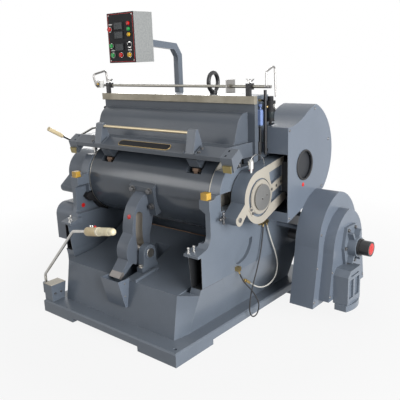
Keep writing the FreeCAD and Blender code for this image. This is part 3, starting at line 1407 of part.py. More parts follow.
def main():
    """Build and export every piece."""
    os.makedirs("parts", exist_ok=True)
    make_base()
    make_front_body()
    for side in ("left", "right"):
        make_side_frame(side)
    make_guide_caps()
    make_stop_pads()
    make_guide_pin()
    make_waste_chute()
    make_platen()
    make_guide_arm()
    make_rods()
    make_gear_train()
    make_drive()
    make_crank_covers()
    make_flywheel_guard()
    make_bed()
    make_controls()
    make_lever()
    make_hand_lever()
    make_safety_bar()
    make_air_unit()
    make_cords()


main()
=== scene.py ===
import logging
import math
from dataclasses import dataclass, replace
from enum import Enum, IntEnum
from typing import Dict, List, Optional, Sequence, Tuple

import bpy
from mathutils import Matrix, Vector


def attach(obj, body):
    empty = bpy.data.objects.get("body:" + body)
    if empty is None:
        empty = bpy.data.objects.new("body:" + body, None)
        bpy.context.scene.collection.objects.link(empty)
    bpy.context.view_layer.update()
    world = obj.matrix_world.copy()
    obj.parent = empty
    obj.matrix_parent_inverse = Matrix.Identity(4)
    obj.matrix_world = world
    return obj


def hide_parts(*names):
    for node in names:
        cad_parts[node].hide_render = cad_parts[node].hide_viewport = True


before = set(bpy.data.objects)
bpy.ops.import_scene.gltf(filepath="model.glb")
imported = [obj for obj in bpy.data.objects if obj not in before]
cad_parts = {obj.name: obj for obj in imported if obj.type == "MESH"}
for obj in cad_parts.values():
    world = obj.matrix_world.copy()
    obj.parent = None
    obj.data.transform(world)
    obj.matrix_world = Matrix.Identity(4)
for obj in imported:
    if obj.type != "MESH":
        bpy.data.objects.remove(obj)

log = logging.getLogger("die_press")

Colour = Tuple[float, float, float]
Point = Tuple[float, float, float]
Pair = Tuple[float, float]
Profile = Sequence[Pair]
Places = Sequence[Tuple[Vector, Vector]]
Piece = bpy.types.Object
Material = bpy.types.Material
Socket = bpy.types.NodeSocket

BASE_DEPTH = 1500.0

WASHER: Profile = ((0, 1.25), (0.2, 1.25))
WASHER_EDGE = 0.05
HEX_HEAD: Profile = ((0.2, 1), (0.92, 1), (1, 0.82))
HEX_EDGE = 0.03
SOCKET_HEAD: Profile = ((0, 1), (0.85, 1), (1, 0.88), (1, 0.5), (0.45, 0.48))
PAN_HEAD: Profile = ((0, 1), (0.35, 1), (0.75, 0.8), (1, 0.45), (0.7, 0.3))

TIE_WAY = Vector((1.0, 0.1, 0.0))

WHOLE = (0.0, 1.0)
MOTTLE = (0.32, 0.68)
GRAIN = (0.25, 0.75)
DUST_COLOUR = (0.30, 0.29, 0.27)
DUST_SLOPE = (0.35, 1.0)
DUST_CLOUD = (0.35, 0.65)
DUST_SHARE = (0.3, 1.0)
EDGE_TURN = (0.985, 0.90)
EDGE_SHARE = (0.0, 0.75)
EDGE_CLOUD = (0.38, 0.62)
EDGE_BREAK = (0.25, 1.0)
COAT_ROUGHNESS = 0.12
BUMP_DEPTH = 0.0006


def mm(x: float, y: float, z: float) -> Vector:
    """Point in metres from millimetres, with y counted from the front edge of the base."""
    return Vector((x, y - BASE_DEPTH / 2, z)) / 1000.0


def shift(x: float, y: float, z: float) -> Vector:
    """Offset in metres from millimetres."""
    return Vector((x, y, z)) / 1000.0


def facing(way: Vector) -> Matrix:
    """Turn that brings the Z axis to a direction."""
    return UP.rotation_difference(way).to_matrix().to_4x4()


class Way(Enum):
    """Directions that a piece can point."""

    RIGHT = (1, 0, 0)
    LEFT = (-1, 0, 0)
    BACK = (0, 1, 0)
    FRONT = (0, -1, 0)
    UP = (0, 0, 1)

    @property
    def vector(self) -> Vector:
        """The direction as a vector."""
        return Vector(self.value)


RIGHT, LEFT, BACK, FRONT, UP = (way.vector for way in Way)


class Facets(IntEnum):
    """Faces around a turned piece."""

    HEX = 6
    PIN = 16
    STUD = 18
    SMALL = 20
    SCREW = 24
    COLLAR = 28
    ROUND = 32
    GRIP = 36
    RING = 40
    OVAL = 48


class Body(Enum):
    """Moving bodies of the press that new pieces ride on."""

    FRAME = "frame"
    CARRIAGE = "carriage"
    PLATEN = "platen"
    SAFETY_BAR = "safety_bar"
    CLUTCH_LEVER = "clutch_lever"
    SELECTOR = "selector_knob"
    STOP = "stop_button"
    START = "start_button"
    INCH = "inch_button"
    RESET = "reset_button"
    COUNT = "count_button"


class Graph:
    """Short hand for building the nodes of a material or of the world."""

    def __init__(self, owner: bpy.types.ID) -> None:
        """Starts an empty node tree.

        Args:
            owner: Material or world that holds the nodes.
        """
        self.owner = owner
        owner.use_nodes = True
        self.tree = owner.node_tree
        self.tree.nodes.clear()

    def node(self, kind: str, sockets: Optional[Dict[object, object]] = None,
             **settings: object) -> bpy.types.Node:
        """Adds a node.

        Args:
            kind: Node type name after "ShaderNode".
            sockets: Input values or output sockets to link, by input name or number.
            settings: Properties of the node.

        Returns:
            The new node.
        """
        made = self.tree.nodes.new("ShaderNode" + kind)
        for key, value in settings.items():
            setattr(made, key, value)
        for key, value in (sockets or {}).items():
            if isinstance(value, Socket):
                self.tree.links.new(value, made.inputs[key])
            else:
                made.inputs[key].default_value = value
        return made

    def math(self, operation: str, first: object, second: object = 0.0) -> Socket:
        """Adds a math node and gives its result."""
        return self.node("Math", {0: first, 1: second}, operation=operation).outputs[0]

    def vector(self, operation: str, first: object, second: object = (0.0, 0.0, 0.0)) -> bpy.types.Node:
        """Adds a vector math node."""
        return self.node("VectorMath", {0: first, 1: second}, operation=operation)

    def blend(self, share: object, first: object, second: object) -> Socket:
        """Mixes two colours by a share.

        Args:
            share: Number or socket from 0 to 1.
            first: Colour or socket at 0.
            second: Colour or socket at 1.

        Returns:
            The mixed colour.
        """
        whole = [value if isinstance(value, Socket) else (*value, 1.0) for value in (first, second)]
        return self.node("Mix", {0: share, 6: whole[0], 7: whole[1]}, data_type="RGBA").outputs[2]

    def between(self, share: object, first: object, second: object) -> Socket:
        """Mixes two numbers by a share."""
        return self.node("Mix", {0: share, 2: first, 3: second}, data_type="FLOAT").outputs[0]

    def ramp(self, value: object, start: Pair, end: Pair) -> Socket:
        """Maps a range of a number to another, clamped.

        Args:
            value: Number or socket to map.
            start: Limits of the number.
            end: Limits of the result.

        Returns:
            The mapped number.
        """
        sockets = {"Value": value, "From Min": start[0], "From Max": start[1], "To Min": end[0], "To Max": end[1]}
        return self.node("MapRange", sockets).outputs[0]

    def seen(self) -> Socket:
        """Share that is 1 for rays that show the backdrop, straight, through glass or in a shiny face."""
        path = self.node("LightPath")
        share = self.math("MAXIMUM", path.outputs["Is Camera Ray"], path.outputs["Is Transmission Ray"])
        return self.math("MAXIMUM", share, path.outputs["Is Glossy Ray"])


@dataclass(frozen=True)
class Zone:
    """Box of a node, in millimetres, that has its own colour and gloss, or that holds painted shade."""

    low: Point
    high: Point
    colour: Colour
    metallic: float
    roughness: float

    def mirrored(self) -> Tuple["Zone", "Zone"]:
        """This zone and its copy on the other side of the machine."""
        (x0, *low), (x1, *high) = self.low, self.high
        return self, replace(self, low=(-x1, *low), high=(-x0, *high))

    def mask(self, graph: Graph, place: Socket) -> Socket:
        """Share that is 1 inside the box.

        Args:
            graph: Material under construction.
            place: Object coordinates.

        Returns:
            The mask.
        """
        low, high = mm(*self.low), mm(*self.high)
        off = graph.vector("SUBTRACT", place, (low + high) / 2).outputs[0]
        away = graph.node("SeparateXYZ", {0: graph.vector("ABSOLUTE", off).outputs[0]})
        within = [graph.math("LESS_THAN", out, half) for out, half in zip(away.outputs, (high - low) / 2)]
        return graph.math("MULTIPLY", graph.math("MULTIPLY", within[0], within[1]), within[2])


@dataclass(frozen=True)
class Finish:
    """Surface finish with mottled colour, grain, bump, worn edges and dust, and a slot name from the record that no
    piece is given.
    """

    name: str
    colour: Colour
    second: Colour
    metallic: float = 0.0
    roughness: float = 0.45
    spread: float = 0.10
    patch: float = 5.0
    grain: float = 700.0
    stretch: Point = (1.0, 1.0, 1.0)
    bump: float = 0.06
    coat: float = 0.0
    specular: float = 0.5
    edge: Optional[Colour] = None
    edge_radius: float = 0.003
    dust: float = 0.0
    zones: Tuple[Zone, ...] = ()
    slot: str = ""

    def build(self) -> Material:
        """Makes the material.

        Returns:
            A node material that reads object coordinates.
        """
        graph = Graph(bpy.data.materials.new(self.name))
        place = graph.node("TexCoord").outputs["Object"]
        patches = graph.node("TexNoise", {"Vector": place, "Scale": self.patch, "Detail": 6.0, "Roughness": 0.6})
        cloud = patches.outputs[0]
        colour = graph.blend(graph.ramp(cloud, MOTTLE, WHOLE), self.colour, self.second)
        drawn = graph.node("Mapping", {"Vector": place, "Scale": self.stretch}).outputs[0]
        grain = graph.node("TexNoise", {"Vector": drawn, "Scale": self.grain, "Detail": 3.0}).outputs[0]
        gloss = (self.roughness - self.spread, self.roughness + self.spread)
        rough = graph.ramp(grain, GRAIN, gloss)
        metal: object = self.metallic
        if self.dust > 0.0:
            facing_up = graph.node("SeparateXYZ", {0: graph.node("NewGeometry").outputs["Normal"]}).outputs[2]
            settled = graph.ramp(facing_up, DUST_SLOPE, (0.0, self.dust))
            cloudy = graph.math("MULTIPLY", settled, graph.ramp(cloud, DUST_CLOUD, DUST_SHARE))
            colour = graph.blend(cloudy, colour, DUST_COLOUR)
        if self.edge is not None:
            colour = graph.blend(self.worn(graph, place), colour, self.edge)
        for zone in self.zones:
            inside = zone.mask(graph, place)
            colour = graph.blend(inside, colour, zone.colour)
            rough = graph.between(inside, rough, zone.roughness)
            metal = graph.between(inside, metal, zone.metallic)
        bump = graph.node("Bump", {"Height": grain, "Strength": self.bump, "Distance": BUMP_DEPTH})
        shader = graph.node("BsdfPrincipled", {"Base Color": colour, "Roughness": rough, "Metallic": metal,
                                               "Coat Weight": self.coat, "Coat Roughness": COAT_ROUGHNESS,
                                               "Specular IOR Level": self.specular, "Normal": bump.outputs[0]})
        graph.node("OutputMaterial", {"Surface": shader.outputs[0]})
        return graph.owner

    def worn(self, graph: Graph, place: Socket) -> Socket:
        """Share of rubbed paint along sharp edges.

        Args:
            graph: Material under construction.
            place: Object coordinates.

        Returns:
            The mask.
        """
        soft = graph.node("Bevel", {"Radius": self.edge_radius}, samples=4).outputs[0]
        hard = graph.node("NewGeometry").outputs["Normal"]
        same = graph.vector("DOT_PRODUCT", soft, hard).outputs["Value"]
        near = graph.ramp(same, EDGE_TURN, EDGE_SHARE)
        broken = graph.node("TexNoise", {"Vector": place, "Scale": 30.0, "Detail": 5.0}).outputs[0]
        return graph.math("MULTIPLY", near, graph.ramp(broken, EDGE_CLOUD, EDGE_BREAK))


PAINT = (0.137, 0.162, 0.198)
PAINT_SHADE = (0.115, 0.138, 0.170)
ROD_FACE = (0.42, 0.39, 0.335)
JET = (0.014, 0.014, 0.015)

ENAMEL = Finish("enamel", PAINT, PAINT_SHADE, 0.0, 0.42, 0.08, 6.0, 420.0, bump=0.18, edge=(0.26, 0.28, 0.30))
CAST_PAINT = replace(ENAMEL, name="cast_paint", roughness=0.32, spread=0.07, patch=4.0, bump=0.14, coat=0.16,
                     specular=0.36, dust=0.10)
# The frame's zone paints the inside of the leaf-shaped recess in each side frame near black: painted shade in the
# recesses, not a colour of the casting.
FRAME_PAINT = replace(CAST_PAINT, name="frame_paint", zones=Zone(
    (533, 204, 374), (602.6, 420, 562), (0.012, 0.013, 0.015), 0.0, 0.60).mirrored())
PLATEN_PAINT = replace(CAST_PAINT, name="platen_paint", colour=(0.090, 0.105, 0.128), second=(0.076, 0.090, 0.110),
                       coat=0.12, specular=0.34, dust=0.06, slot="platen_paint")
SHEET_PAINT = replace(CAST_PAINT, name="sheet_paint", colour=(0.135, 0.160, 0.200), second=(0.118, 0.142, 0.178),
                      roughness=0.30, spread=0.05, patch=3.0, grain=520.0, bump=0.06, edge_radius=0.0025, dust=0.0)
ROD_CAST = replace(ENAMEL, name="rod_cast", patch=5.0, specular=0.4, edge=(0.44, 0.42, 0.37), zones=(
    Zone((707.2, 300, 600), (713, 1300, 1200), ROD_FACE, 0.30, 0.46),
    Zone((-870, 300, 600), (-867.2, 1300, 1200), ROD_FACE, 0.30, 0.46),
    # These two zones paint the rods near black where they run into the crank covers: painted shade of the covers' dark
    # insides, not a colour of the rods.
    *Zone((709, 850, 800), (780, 1300, 1150), (0.020, 0.022, 0.026), 0.0, 0.55).mirrored()))
PIVOT_PAINT = replace(ENAMEL, name="pivot_paint", specular=0.4, zones=(
    Zone((-63.5, 200, 400), (63.5, 450, 520), (0.50, 0.48, 0.45), 0.9, 0.28),
    Zone((112.3, 294, 434), (118, 350, 490), (0.50, 0.49, 0.47), 0.8, 0.34)))
ARM_PAINT = replace(
    ENAMEL, name="arm_paint", colour=(0.120, 0.140, 0.172), second=(0.100, 0.118, 0.146), specular=0.4, zones=(
        Zone((-50, 100, 320), (50, 160, 372), (0.27, 0.25, 0.24), 0.6, 0.44),
        Zone((-44.6, 277, 430), (44.6, 348, 702), (0.30, 0.27, 0.23), 0.6, 0.42)))
DRUM = replace(ENAMEL, name="drum_paint", colour=(0.080, 0.094, 0.115), second=(0.068, 0.080, 0.098), roughness=0.20,
               spread=0.05, patch=4.0, bump=0.10, coat=0.08, specular=0.36, zones=Zone(
                   (519, 300, 500), (530, 800, 1100), (0.44, 0.42, 0.37), 0.5, 0.42).mirrored())
FEED_RAIL = replace(
    ENAMEL, name="feed_rail", colour=(0.110, 0.130, 0.160), second=(0.095, 0.112, 0.138), coat=0.1, zones=(
        Zone((-366, 425, 1186), (366, 455, 1214), (0.44, 0.37, 0.25), 1.0, 0.32),))
END_BLOCK = replace(
    ENAMEL, name="end_block", colour=(0.105, 0.122, 0.146), second=(0.090, 0.105, 0.128), coat=0.1, zones=Zone(
        (633, 390, 1000), (691, 405.6, 1046), (0.26, 0.21, 0.085), 0.55, 0.46).mirrored())
BEARING = replace(ENAMEL, name="bearing_paint", coat=0.1, zones=(
    Zone((1092.2, 1100, 390), (1200, 1220, 510), JET, 0.0, 0.38),))

MACHINED = Finish("machined_steel", (0.46, 0.44, 0.40), (0.36, 0.34, 0.31), 0.9, 0.34, 0.10, 9.0, 260.0,
                  (1.0, 1.0, 14.0), 0.10, edge=(0.62, 0.60, 0.56), slot="machined_steel")
POLISHED = Finish("polished_steel", (0.66, 0.65, 0.63), (0.56, 0.55, 0.53), 1.0, 0.20, 0.06, 12.0, 500.0,
                  (0.06, 1.0, 1.0), 0.04, slot="bright_steel")
DARK_STEEL = Finish("dark_steel", (0.16, 0.16, 0.165), (0.11, 0.11, 0.115), 0.85, 0.40, 0.10, 9.0, 420.0,
                    bump=0.10, edge=(0.40, 0.39, 0.37), slot="dark_steel")
TOP_BAR = Finish("worn_top_bar", (0.17, 0.15, 0.11), (0.33, 0.30, 0.24), 0.55, 0.46, 0.08, 5.0, 240.0,
                 (0.05, 1.0, 1.0), 0.06, edge=(0.50, 0.46, 0.39), edge_radius=0.002)
SLEEVE = Finish("sleeve_disc", (0.20, 0.20, 0.195), (0.16, 0.16, 0.157), 0.45, 0.42, 0.07, 10.0, 300.0,
                bump=0.10, edge=(0.62, 0.60, 0.55), zones=(
                    Zone((600, 300, 600), (712.2, 1300, 1200), ROD_FACE, 0.35, 0.42),
                    Zone((-872.2, 300, 600), (-600, 1300, 1200), ROD_FACE, 0.35, 0.42)))
CHASE = Finish("chase_steel", (0.20, 0.195, 0.185), (0.15, 0.145, 0.138), 0.8, 0.44, 0.10, 9.0, 300.0, bump=0.10,
               zones=(Zone((-560, 730, 636), (560, 765, 643), (0.24, 0.11, 0.06), 0.1, 0.60),))
LEVER = Finish("lever_steel", (0.50, 0.49, 0.47), (0.40, 0.39, 0.37), 1.0, 0.27, 0.07, 10.0, 420.0, bump=0.05,
               zones=(Zone((-640, 20, 110), (-592, 80, 190), (0.15, 0.175, 0.215), 0.0, 0.40),))
HAND_LEVER = Finish("hand_lever_steel", (0.50, 0.49, 0.47), (0.42, 0.41, 0.39), 1.0, 0.26, 0.06, 12.0, 500.0,
                    bump=0.04, zones=(Zone((-826, 296, 1090), (-786, 424, 1200), (0.70, 0.58, 0.36), 0.0, 0.42),))
SAFETY = Finish("safety_bar_steel", (0.40, 0.39, 0.38), (0.30, 0.29, 0.28), 1.0, 0.28, 0.07, 10.0, 420.0,
                bump=0.05, zones=(Zone((-694, 672, 1424), (-648, 710, 1478), (0.70, 0.69, 0.66), 0.0, 0.42),
                                  Zone((-640, 704, 1428), (700, 732, 1456), (0.25, 0.24, 0.21), 1.0, 0.30)))
BRASS = Finish("brass", (0.56, 0.42, 0.20), (0.44, 0.32, 0.14), 1.0, 0.30, 0.10, 16.0, 600.0, slot="brass")
FITTINGS = replace(BRASS, name="brass_fittings", roughness=0.32, zones=(
    Zone((600, 776, 637), (622, 808, 1300), JET, 0.0, 0.45),
    Zone((622, 780, 1040), (660, 820, 1430), (0.030, 0.030, 0.032), 0.6, 0.36)))
BROWN = Finish("browned_nut", (0.20, 0.13, 0.09), (0.13, 0.085, 0.06), 0.6, 0.52, 0.10, 40.0, 500.0, bump=0.2,
               edge=(0.38, 0.30, 0.24), edge_radius=0.001, slot="dark_steel")

AMBER = Finish("amber_polyurethane", (0.56, 0.34, 0.045), (0.46, 0.26, 0.035), 0.0, 0.38, 0.08, 22.0, 300.0,
               bump=0.20, coat=0.20, edge=(0.66, 0.44, 0.10), slot="stop_pad")
BLACK_PLASTIC = Finish("black_plastic", (0.016, 0.016, 0.018), (0.024, 0.024, 0.026), 0.0, 0.48, 0.08, 8.0, 900.0,
                       bump=0.12, specular=0.10, edge=(0.08, 0.08, 0.085), edge_radius=0.001, slot="black_plastic")
BLACK_ENAMEL = Finish("black_enamel", (0.018, 0.018, 0.020), (0.028, 0.028, 0.030), 0.0, 0.30, 0.06, 12.0, 500.0,
                      bump=0.08, specular=0.4, edge=(0.12, 0.12, 0.12), edge_radius=0.001)
RUBBER = Finish("black_rubber", (0.012, 0.012, 0.013), (0.020, 0.020, 0.021), 0.0, 0.60, 0.10, 14.0, 800.0,
                bump=0.20, slot="belt_rubber")
HAMMERED = Finish("hammered_silver", (0.34, 0.35, 0.345), (0.25, 0.26, 0.26), 0.30, 0.44, 0.10, 90.0, 150.0,
                  bump=0.55, coat=0.12, edge=(0.55, 0.55, 0.54))
HOSE = Finish("white_hose", (0.52, 0.51, 0.47), (0.44, 0.43, 0.39), 0.0, 0.34, 0.06, 30.0, 500.0, bump=0.05, coat=0.3)
CREAM = Finish("cream_grip", (0.70, 0.56, 0.32), (0.62, 0.48, 0.26), 0.0, 0.40, 0.07, 25.0, 500.0, bump=0.10,
               coat=0.15, slot="bright_steel")
IVORY = Finish("ivory_tip", (0.82, 0.74, 0.52), (0.76, 0.67, 0.45), 0.0, 0.34, 0.06, 25.0, 500.0, bump=0.05,
               coat=0.3, slot="bright_steel")
BEIGE = Finish("beige_plate", (0.46, 0.42, 0.35), (0.38, 0.35, 0.29), 0.1, 0.48, 0.08, 12.0, 400.0, bump=0.10,
               edge=(0.58, 0.54, 0.47), slot="machined_steel")
BLUE = Finish("blue_switch", (0.20, 0.28, 0.52), (0.16, 0.23, 0.44), 0.0, 0.36, 0.06, 14.0, 600.0, bump=0.08,
              coat=0.2)
RED = Finish("red_plastic", (0.62, 0.020, 0.018), (0.52, 0.015, 0.014), 0.0, 0.28, 0.05, 30.0, 600.0, bump=0.04,
             coat=0.10, specular=0.30, slot="red_plastic")
GREEN = replace(RED, name="green_plastic", colour=(0.02, 0.36, 0.08), second=(0.02, 0.28, 0.06), slot="green_plastic")
YELLOW = replace(RED, name="yellow_plastic", colour=(0.72, 0.42, 0.02), second=(0.62, 0.35, 0.02),
                 slot="yellow_plastic")
WHITE = Finish("white_plastic", (0.72, 0.71, 0.68), (0.64, 0.63, 0.60), 0.0, 0.36, 0.05, 20.0, 600.0, bump=0.05,
               coat=0.2, slot="hose_plastic")
SMOKED = Finish("smoked_window", (0.014, 0.019, 0.022), (0.022, 0.030, 0.034), 0.0, 0.16, 0.03, 12.0, 700.0,
                bump=0.005, coat=0.10, specular=0.25, slot="black_plastic")

NODE_FINISH: Dict[Finish, Tuple[str, ...]] = {
    CAST_PAINT: ("base_plate", "front_body", "guide_caps", "bed", "control_post", "lever_bracket", "valve_box"),
    FRAME_PAINT: ("left_side_frame", "right_side_frame"),
    PLATEN_PAINT: ("platen_beam", "platen_back", "arm_bracket", "platen_plate"),
    SHEET_PAINT: ("left_crank_cover", "right_crank_cover", "left_side_guard", "flywheel_cover", "clutch_cover",
                  "waste_chute", "motor"),
    MACHINED: ("slide_blocks", "trunnions"),
    POLISHED: ("oil_cups",),
    HAND_LEVER: ("hand_lever",),
    TOP_BAR: ("top_bar",),
    DARK_STEEL: ("main_shaft", "layshaft", "pinion_shaft", "flywheel", "motor_pulley"),
    BLACK_ENAMEL: ("lifting_eye", "bar_brackets"),
    AMBER: ("stop_pads",),
    BLACK_PLASTIC: ("air_regulator", "control_panel", "selector_knob"),
    RUBBER: ("drive_belts",),
    HAMMERED: ("control_box",),
    BLUE: ("limit_switch",),
    RED: ("stop_button", "reset_button"),
    GREEN: ("start_button", "inch_button"),
    YELLOW: ("count_button",),
    ROD_CAST: ("left_connecting_rod", "right_connecting_rod"),
    SLEEVE: ("eccentric_sleeves",),
    PIVOT_PAINT: ("pivot_blocks",),
    ARM_PAINT: ("guide_arm",),
    DRUM: ("platen_drum",),
    FEED_RAIL: ("feed_rail",),
    END_BLOCK: ("end_blocks",),
    BEARING: ("outboard_bearing",),
    FITTINGS: ("cord_fittings",),
    LEVER: ("clutch_lever",),
    CHASE: ("die_chase",),
    SAFETY: ("safety_bar",),
}


class Paintbox:
    """Keeps one material for each finish."""

    def __init__(self) -> None:
        """Starts with no materials."""
        self.made: Dict[str, Material] = {}

    def material(self, finish: Finish) -> Material:
        """Material of a finish, made on first use."""
        if finish.name not in self.made:
            self.made[finish.name] = finish.build()
        return self.made[finish.name]

    def coat(self, piece: Piece, finish: Finish) -> None:
        """Gives a piece one finish all over."""
        piece.data.materials.clear()
        piece.data.materials.append(self.material(finish))

    def dress_nodes(self) -> None:
        """Gives every solid of the press its finish."""
        for finish, nodes in NODE_FINISH.items():
            for node in nodes:
                self.coat(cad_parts[node], finish)
                log.info("finished %s in %s", node, finish.name)


PAINTBOX = Paintbox()


class Bench:
    """Workbench on which new pieces are modelled; places are in metres, sizes in millimetres."""

    @staticmethod
    def clear() -> None:
        """Goes back to object mode with nothing selected."""
        if bpy.context.mode != "OBJECT":
            bpy.ops.object.mode_set(mode="OBJECT")
        bpy.ops.object.select_all(action="DESELECT")

    @staticmethod
    def take(piece: Piece) -> None:
        """Selects one piece and makes it active."""
        Bench.clear()
        piece.select_set(True)
        bpy.context.view_layer.objects.active = piece

    @staticmethod
    def named(name: str) -> Piece:
        """Names the piece that was just added and gives it."""
        piece = bpy.context.active_object
        piece.name = name
        return piece

    @staticmethod
    def settle(piece: Piece, smooth: float = 0.6) -> Piece:
        """Moves a piece's place into its mesh and smooths its round faces.

        Args:
            piece: Piece to settle.
            smooth: Largest angle between smooth faces, in radians.

        Returns:
            The same piece.
        """
        Bench.take(piece)
        bpy.ops.object.transform_apply(location=True, rotation=True, scale=True)
        bpy.ops.object.shade_smooth_by_angle(angle=smooth)
        return piece

    @staticmethod
    def round_edges(piece: Piece, width: float, steps: int = 2) -> None:
        """Rounds a piece's sharp edges with an applied bevel.

        Args:
            piece: Piece to change.
            width: Width of the rounding.
            steps: Segments across the rounding.
        """
        Bench.take(piece)
        bevel = piece.modifiers.new("edge", "BEVEL")
        bevel.width = width / 1000.0
        bevel.segments = steps
        bevel.limit_method = "ANGLE"
        bpy.ops.object.modifier_apply(modifier=bevel.name)

    @staticmethod
    def block(name: str, low: Vector, high: Vector, edge: float) -> Piece:
        """Block between two corners with rounded edges.

        Args:
            name: Name of the piece.
            low: Lowest corner.
            high: Highest corner.
            edge: Rounding of the edges.

        Returns:
            The new piece.
        """
        Bench.clear()
        bpy.ops.mesh.primitive_cube_add(size=1.0, location=(low + high) / 2)
        piece = Bench.named(name)
        piece.scale = high - low
        Bench.settle(piece)
        Bench.round_edges(piece, edge)
        return Bench.settle(piece)

    @staticmethod
    def turned(name: str, profile: Profile, at: Vector = Vector(), way: Vector = UP, sides: int = Facets.ROUND,
               edge: float = 0.0) -> Piece:
        """Turned piece that grows from a point along a direction.

        Args:
            name: Name of the piece.
            profile: Pairs of distance along the axis and radius.
            at: Point on the axis at distance 0.
            way: Direction of the axis.
            sides: Faces around the axis.
            edge: Rounding of sharp edges.

        Returns:
            The new piece.
        """
        (start, first), (here, radius), *rest = [(along / 1000.0, wide / 1000.0) for along, wide in profile]
        Bench.clear()
        bpy.ops.mesh.primitive_cone_add(vertices=sides, radius1=first, radius2=radius, depth=here - start,
                                        location=(0, 0, (start + here) / 2))
        piece = Bench.named(name)
        bpy.ops.object.transform_apply(location=True)
        for along, wider in rest:
            Bench.top_face(piece, here)
            bpy.ops.mesh.extrude_region_move(TRANSFORM_OT_translate={"value": (0, 0, along - here)})
            share = wider / radius
            bpy.ops.transform.resize(value=(share, share, 1.0), center_override=(0, 0, along))
            bpy.ops.object.mode_set(mode="OBJECT")
            here, radius = along, wider
        if edge > 0.0:
            Bench.round_edges(piece, edge)
        piece.rotation_mode = "QUATERNION"
        piece.rotation_quaternion = UP.rotation_difference(way)
        piece.location = at
        return Bench.settle(piece)

    @staticmethod
    def top_face(piece: Piece, height: float, near: float = 1e-5) -> None:
        """Opens edit mode with the smallest upward face at a height selected.

        Of equal faces it takes the one furthest along TIE_WAY, so that every run gives the same piece.

        Args:
            piece: Piece that stands along Z.
            height: Height of the wanted face, in metres.
            near: Largest distance from that height, in metres.
        """
        Bench.take(piece)
        mesh = piece.data
        level = [face for face in mesh.polygons if face.normal.z > 0.9 and abs(face.center.z - height) < near]
        top = min(level, key=lambda face: (face.area, -face.center.dot(TIE_WAY)))
        corners = set(top.vertices)
        for face in mesh.polygons:
            face.select = face.index == top.index
        for edge in mesh.edges:
            edge.select = False
        for vertex in mesh.vertices:
            vertex.select = vertex.index in corners
        bpy.ops.object.mode_set(mode="EDIT")
        bpy.ops.mesh.select_mode(type="FACE")

    @staticmethod
    def pipe(name: str, points: Sequence[Vector], radius: float) -> Piece:
        """Bent pipe through control points, as a mesh.

        Args:
            name: Name of the piece.
            points: Control points.
            radius: Radius of the pipe.

        Returns:
            The new piece.
        """
        Bench.take(Bench.curve(name, points, radius))
        bpy.ops.object.convert(target="MESH")
        return Bench.settle(bpy.context.active_object)

    @staticmethod
    def curve(name: str, points: Sequence[Vector], radius: float) -> Piece:
        """Smooth round curve with the given control points.

        Args:
            name: Name of the piece.
            points: Control points.
            radius: Radius of the curve.

        Returns:
            The new curve.
        """
        data = bpy.data.curves.new(name, "CURVE")
        data.dimensions = "3D"
        data.bevel_depth = radius / 1000.0
        data.bevel_resolution = 5
        data.use_fill_caps = True
        data.resolution_u = 16
        spline = data.splines.new("NURBS")
        spline.points.add(len(points) - 1)
        for spot, point in zip(spline.points, points):
            spot.co = (*point, 1.0)
        spline.order_u = 3
        spline.use_endpoint_u = True
        piece = bpy.data.objects.new(name, data)
        bpy.context.scene.collection.objects.link(piece)
        return piece

    @staticmethod
    def joined(name: str, pieces: Sequence[Piece]) -> Piece:
        """Joins pieces into one.

        Args:
            name: Name of the result.
            pieces: Pieces to join.

        Returns:
            The joined piece.
        """
        Bench.take(pieces[0])
        for piece in pieces:
            piece.select_set(True)
        bpy.ops.object.join()
        return Bench.named(name)

    @staticmethod
    def repeated(name: str, model: Piece, places: Places) -> Piece:
        """Copies a piece that stands at the origin along Z to many places and joins the copies.

        Args:
            name: Name of the group.
            model: Piece to copy, which is used up.
            places: Pairs of point and direction.

        Returns:
            The joined copies.
        """
        copies = []
        for at, way in places:
            mesh = model.data.copy()
            mesh.transform(Matrix.Translation(at) @ facing(way))
            copies.append(bpy.data.objects.new(name, mesh))
            bpy.context.scene.collection.objects.link(copies[-1])
        bpy.data.objects.remove(model)
        return Bench.joined(name, copies)

    @staticmethod
    def head(shares: Profile, size: Pair, sides: int, edge: float = 0.0) -> Piece:
        """Head of a fastener, standing at the origin along Z.

        Args:
            shares: Profile in shares of the height and the radius.
            size: Radius and height.
            sides: Faces around the axis.
            edge: Rounding of sharp edges, as a share of the height.

        Returns:
            The new piece.
        """
        radius, height = size
        profile = [(along * height, wide * radius) for along, wide in shares]
        return Bench.turned("head", profile, sides=sides, edge=edge * height)

    @staticmethod
    def hex_bolt(size: Pair) -> Piece:
        """Hexagon bolt head on a washer."""
        washer = Bench.head(WASHER, size, Facets.COLLAR, WASHER_EDGE)
        return Bench.joined("hex_bolt", [washer, Bench.head(HEX_HEAD, size, Facets.HEX, HEX_EDGE)])

    @staticmethod
    def socket_screw(size: Pair) -> Piece:
        """Cylinder head with a socket."""
        return Bench.head(SOCKET_HEAD, size, Facets.SCREW)

    @staticmethod
    def pan_screw(size: Pair) -> Piece:
        """Low round head."""
        return Bench.head(PAN_HEAD, size, Facets.SMALL)


def fit(piece: Piece, finish: Finish, body: Body) -> None:
    """Finishes a new piece and joins it to a moving body.

    Args:
        piece: New piece, settled in place.
        finish: Its finish.
        body: Body that it moves with.
    """
    PAINTBOX.coat(piece, finish)
    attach(piece, body.value)
    log.info("made %s on %s", piece.name, body.value)


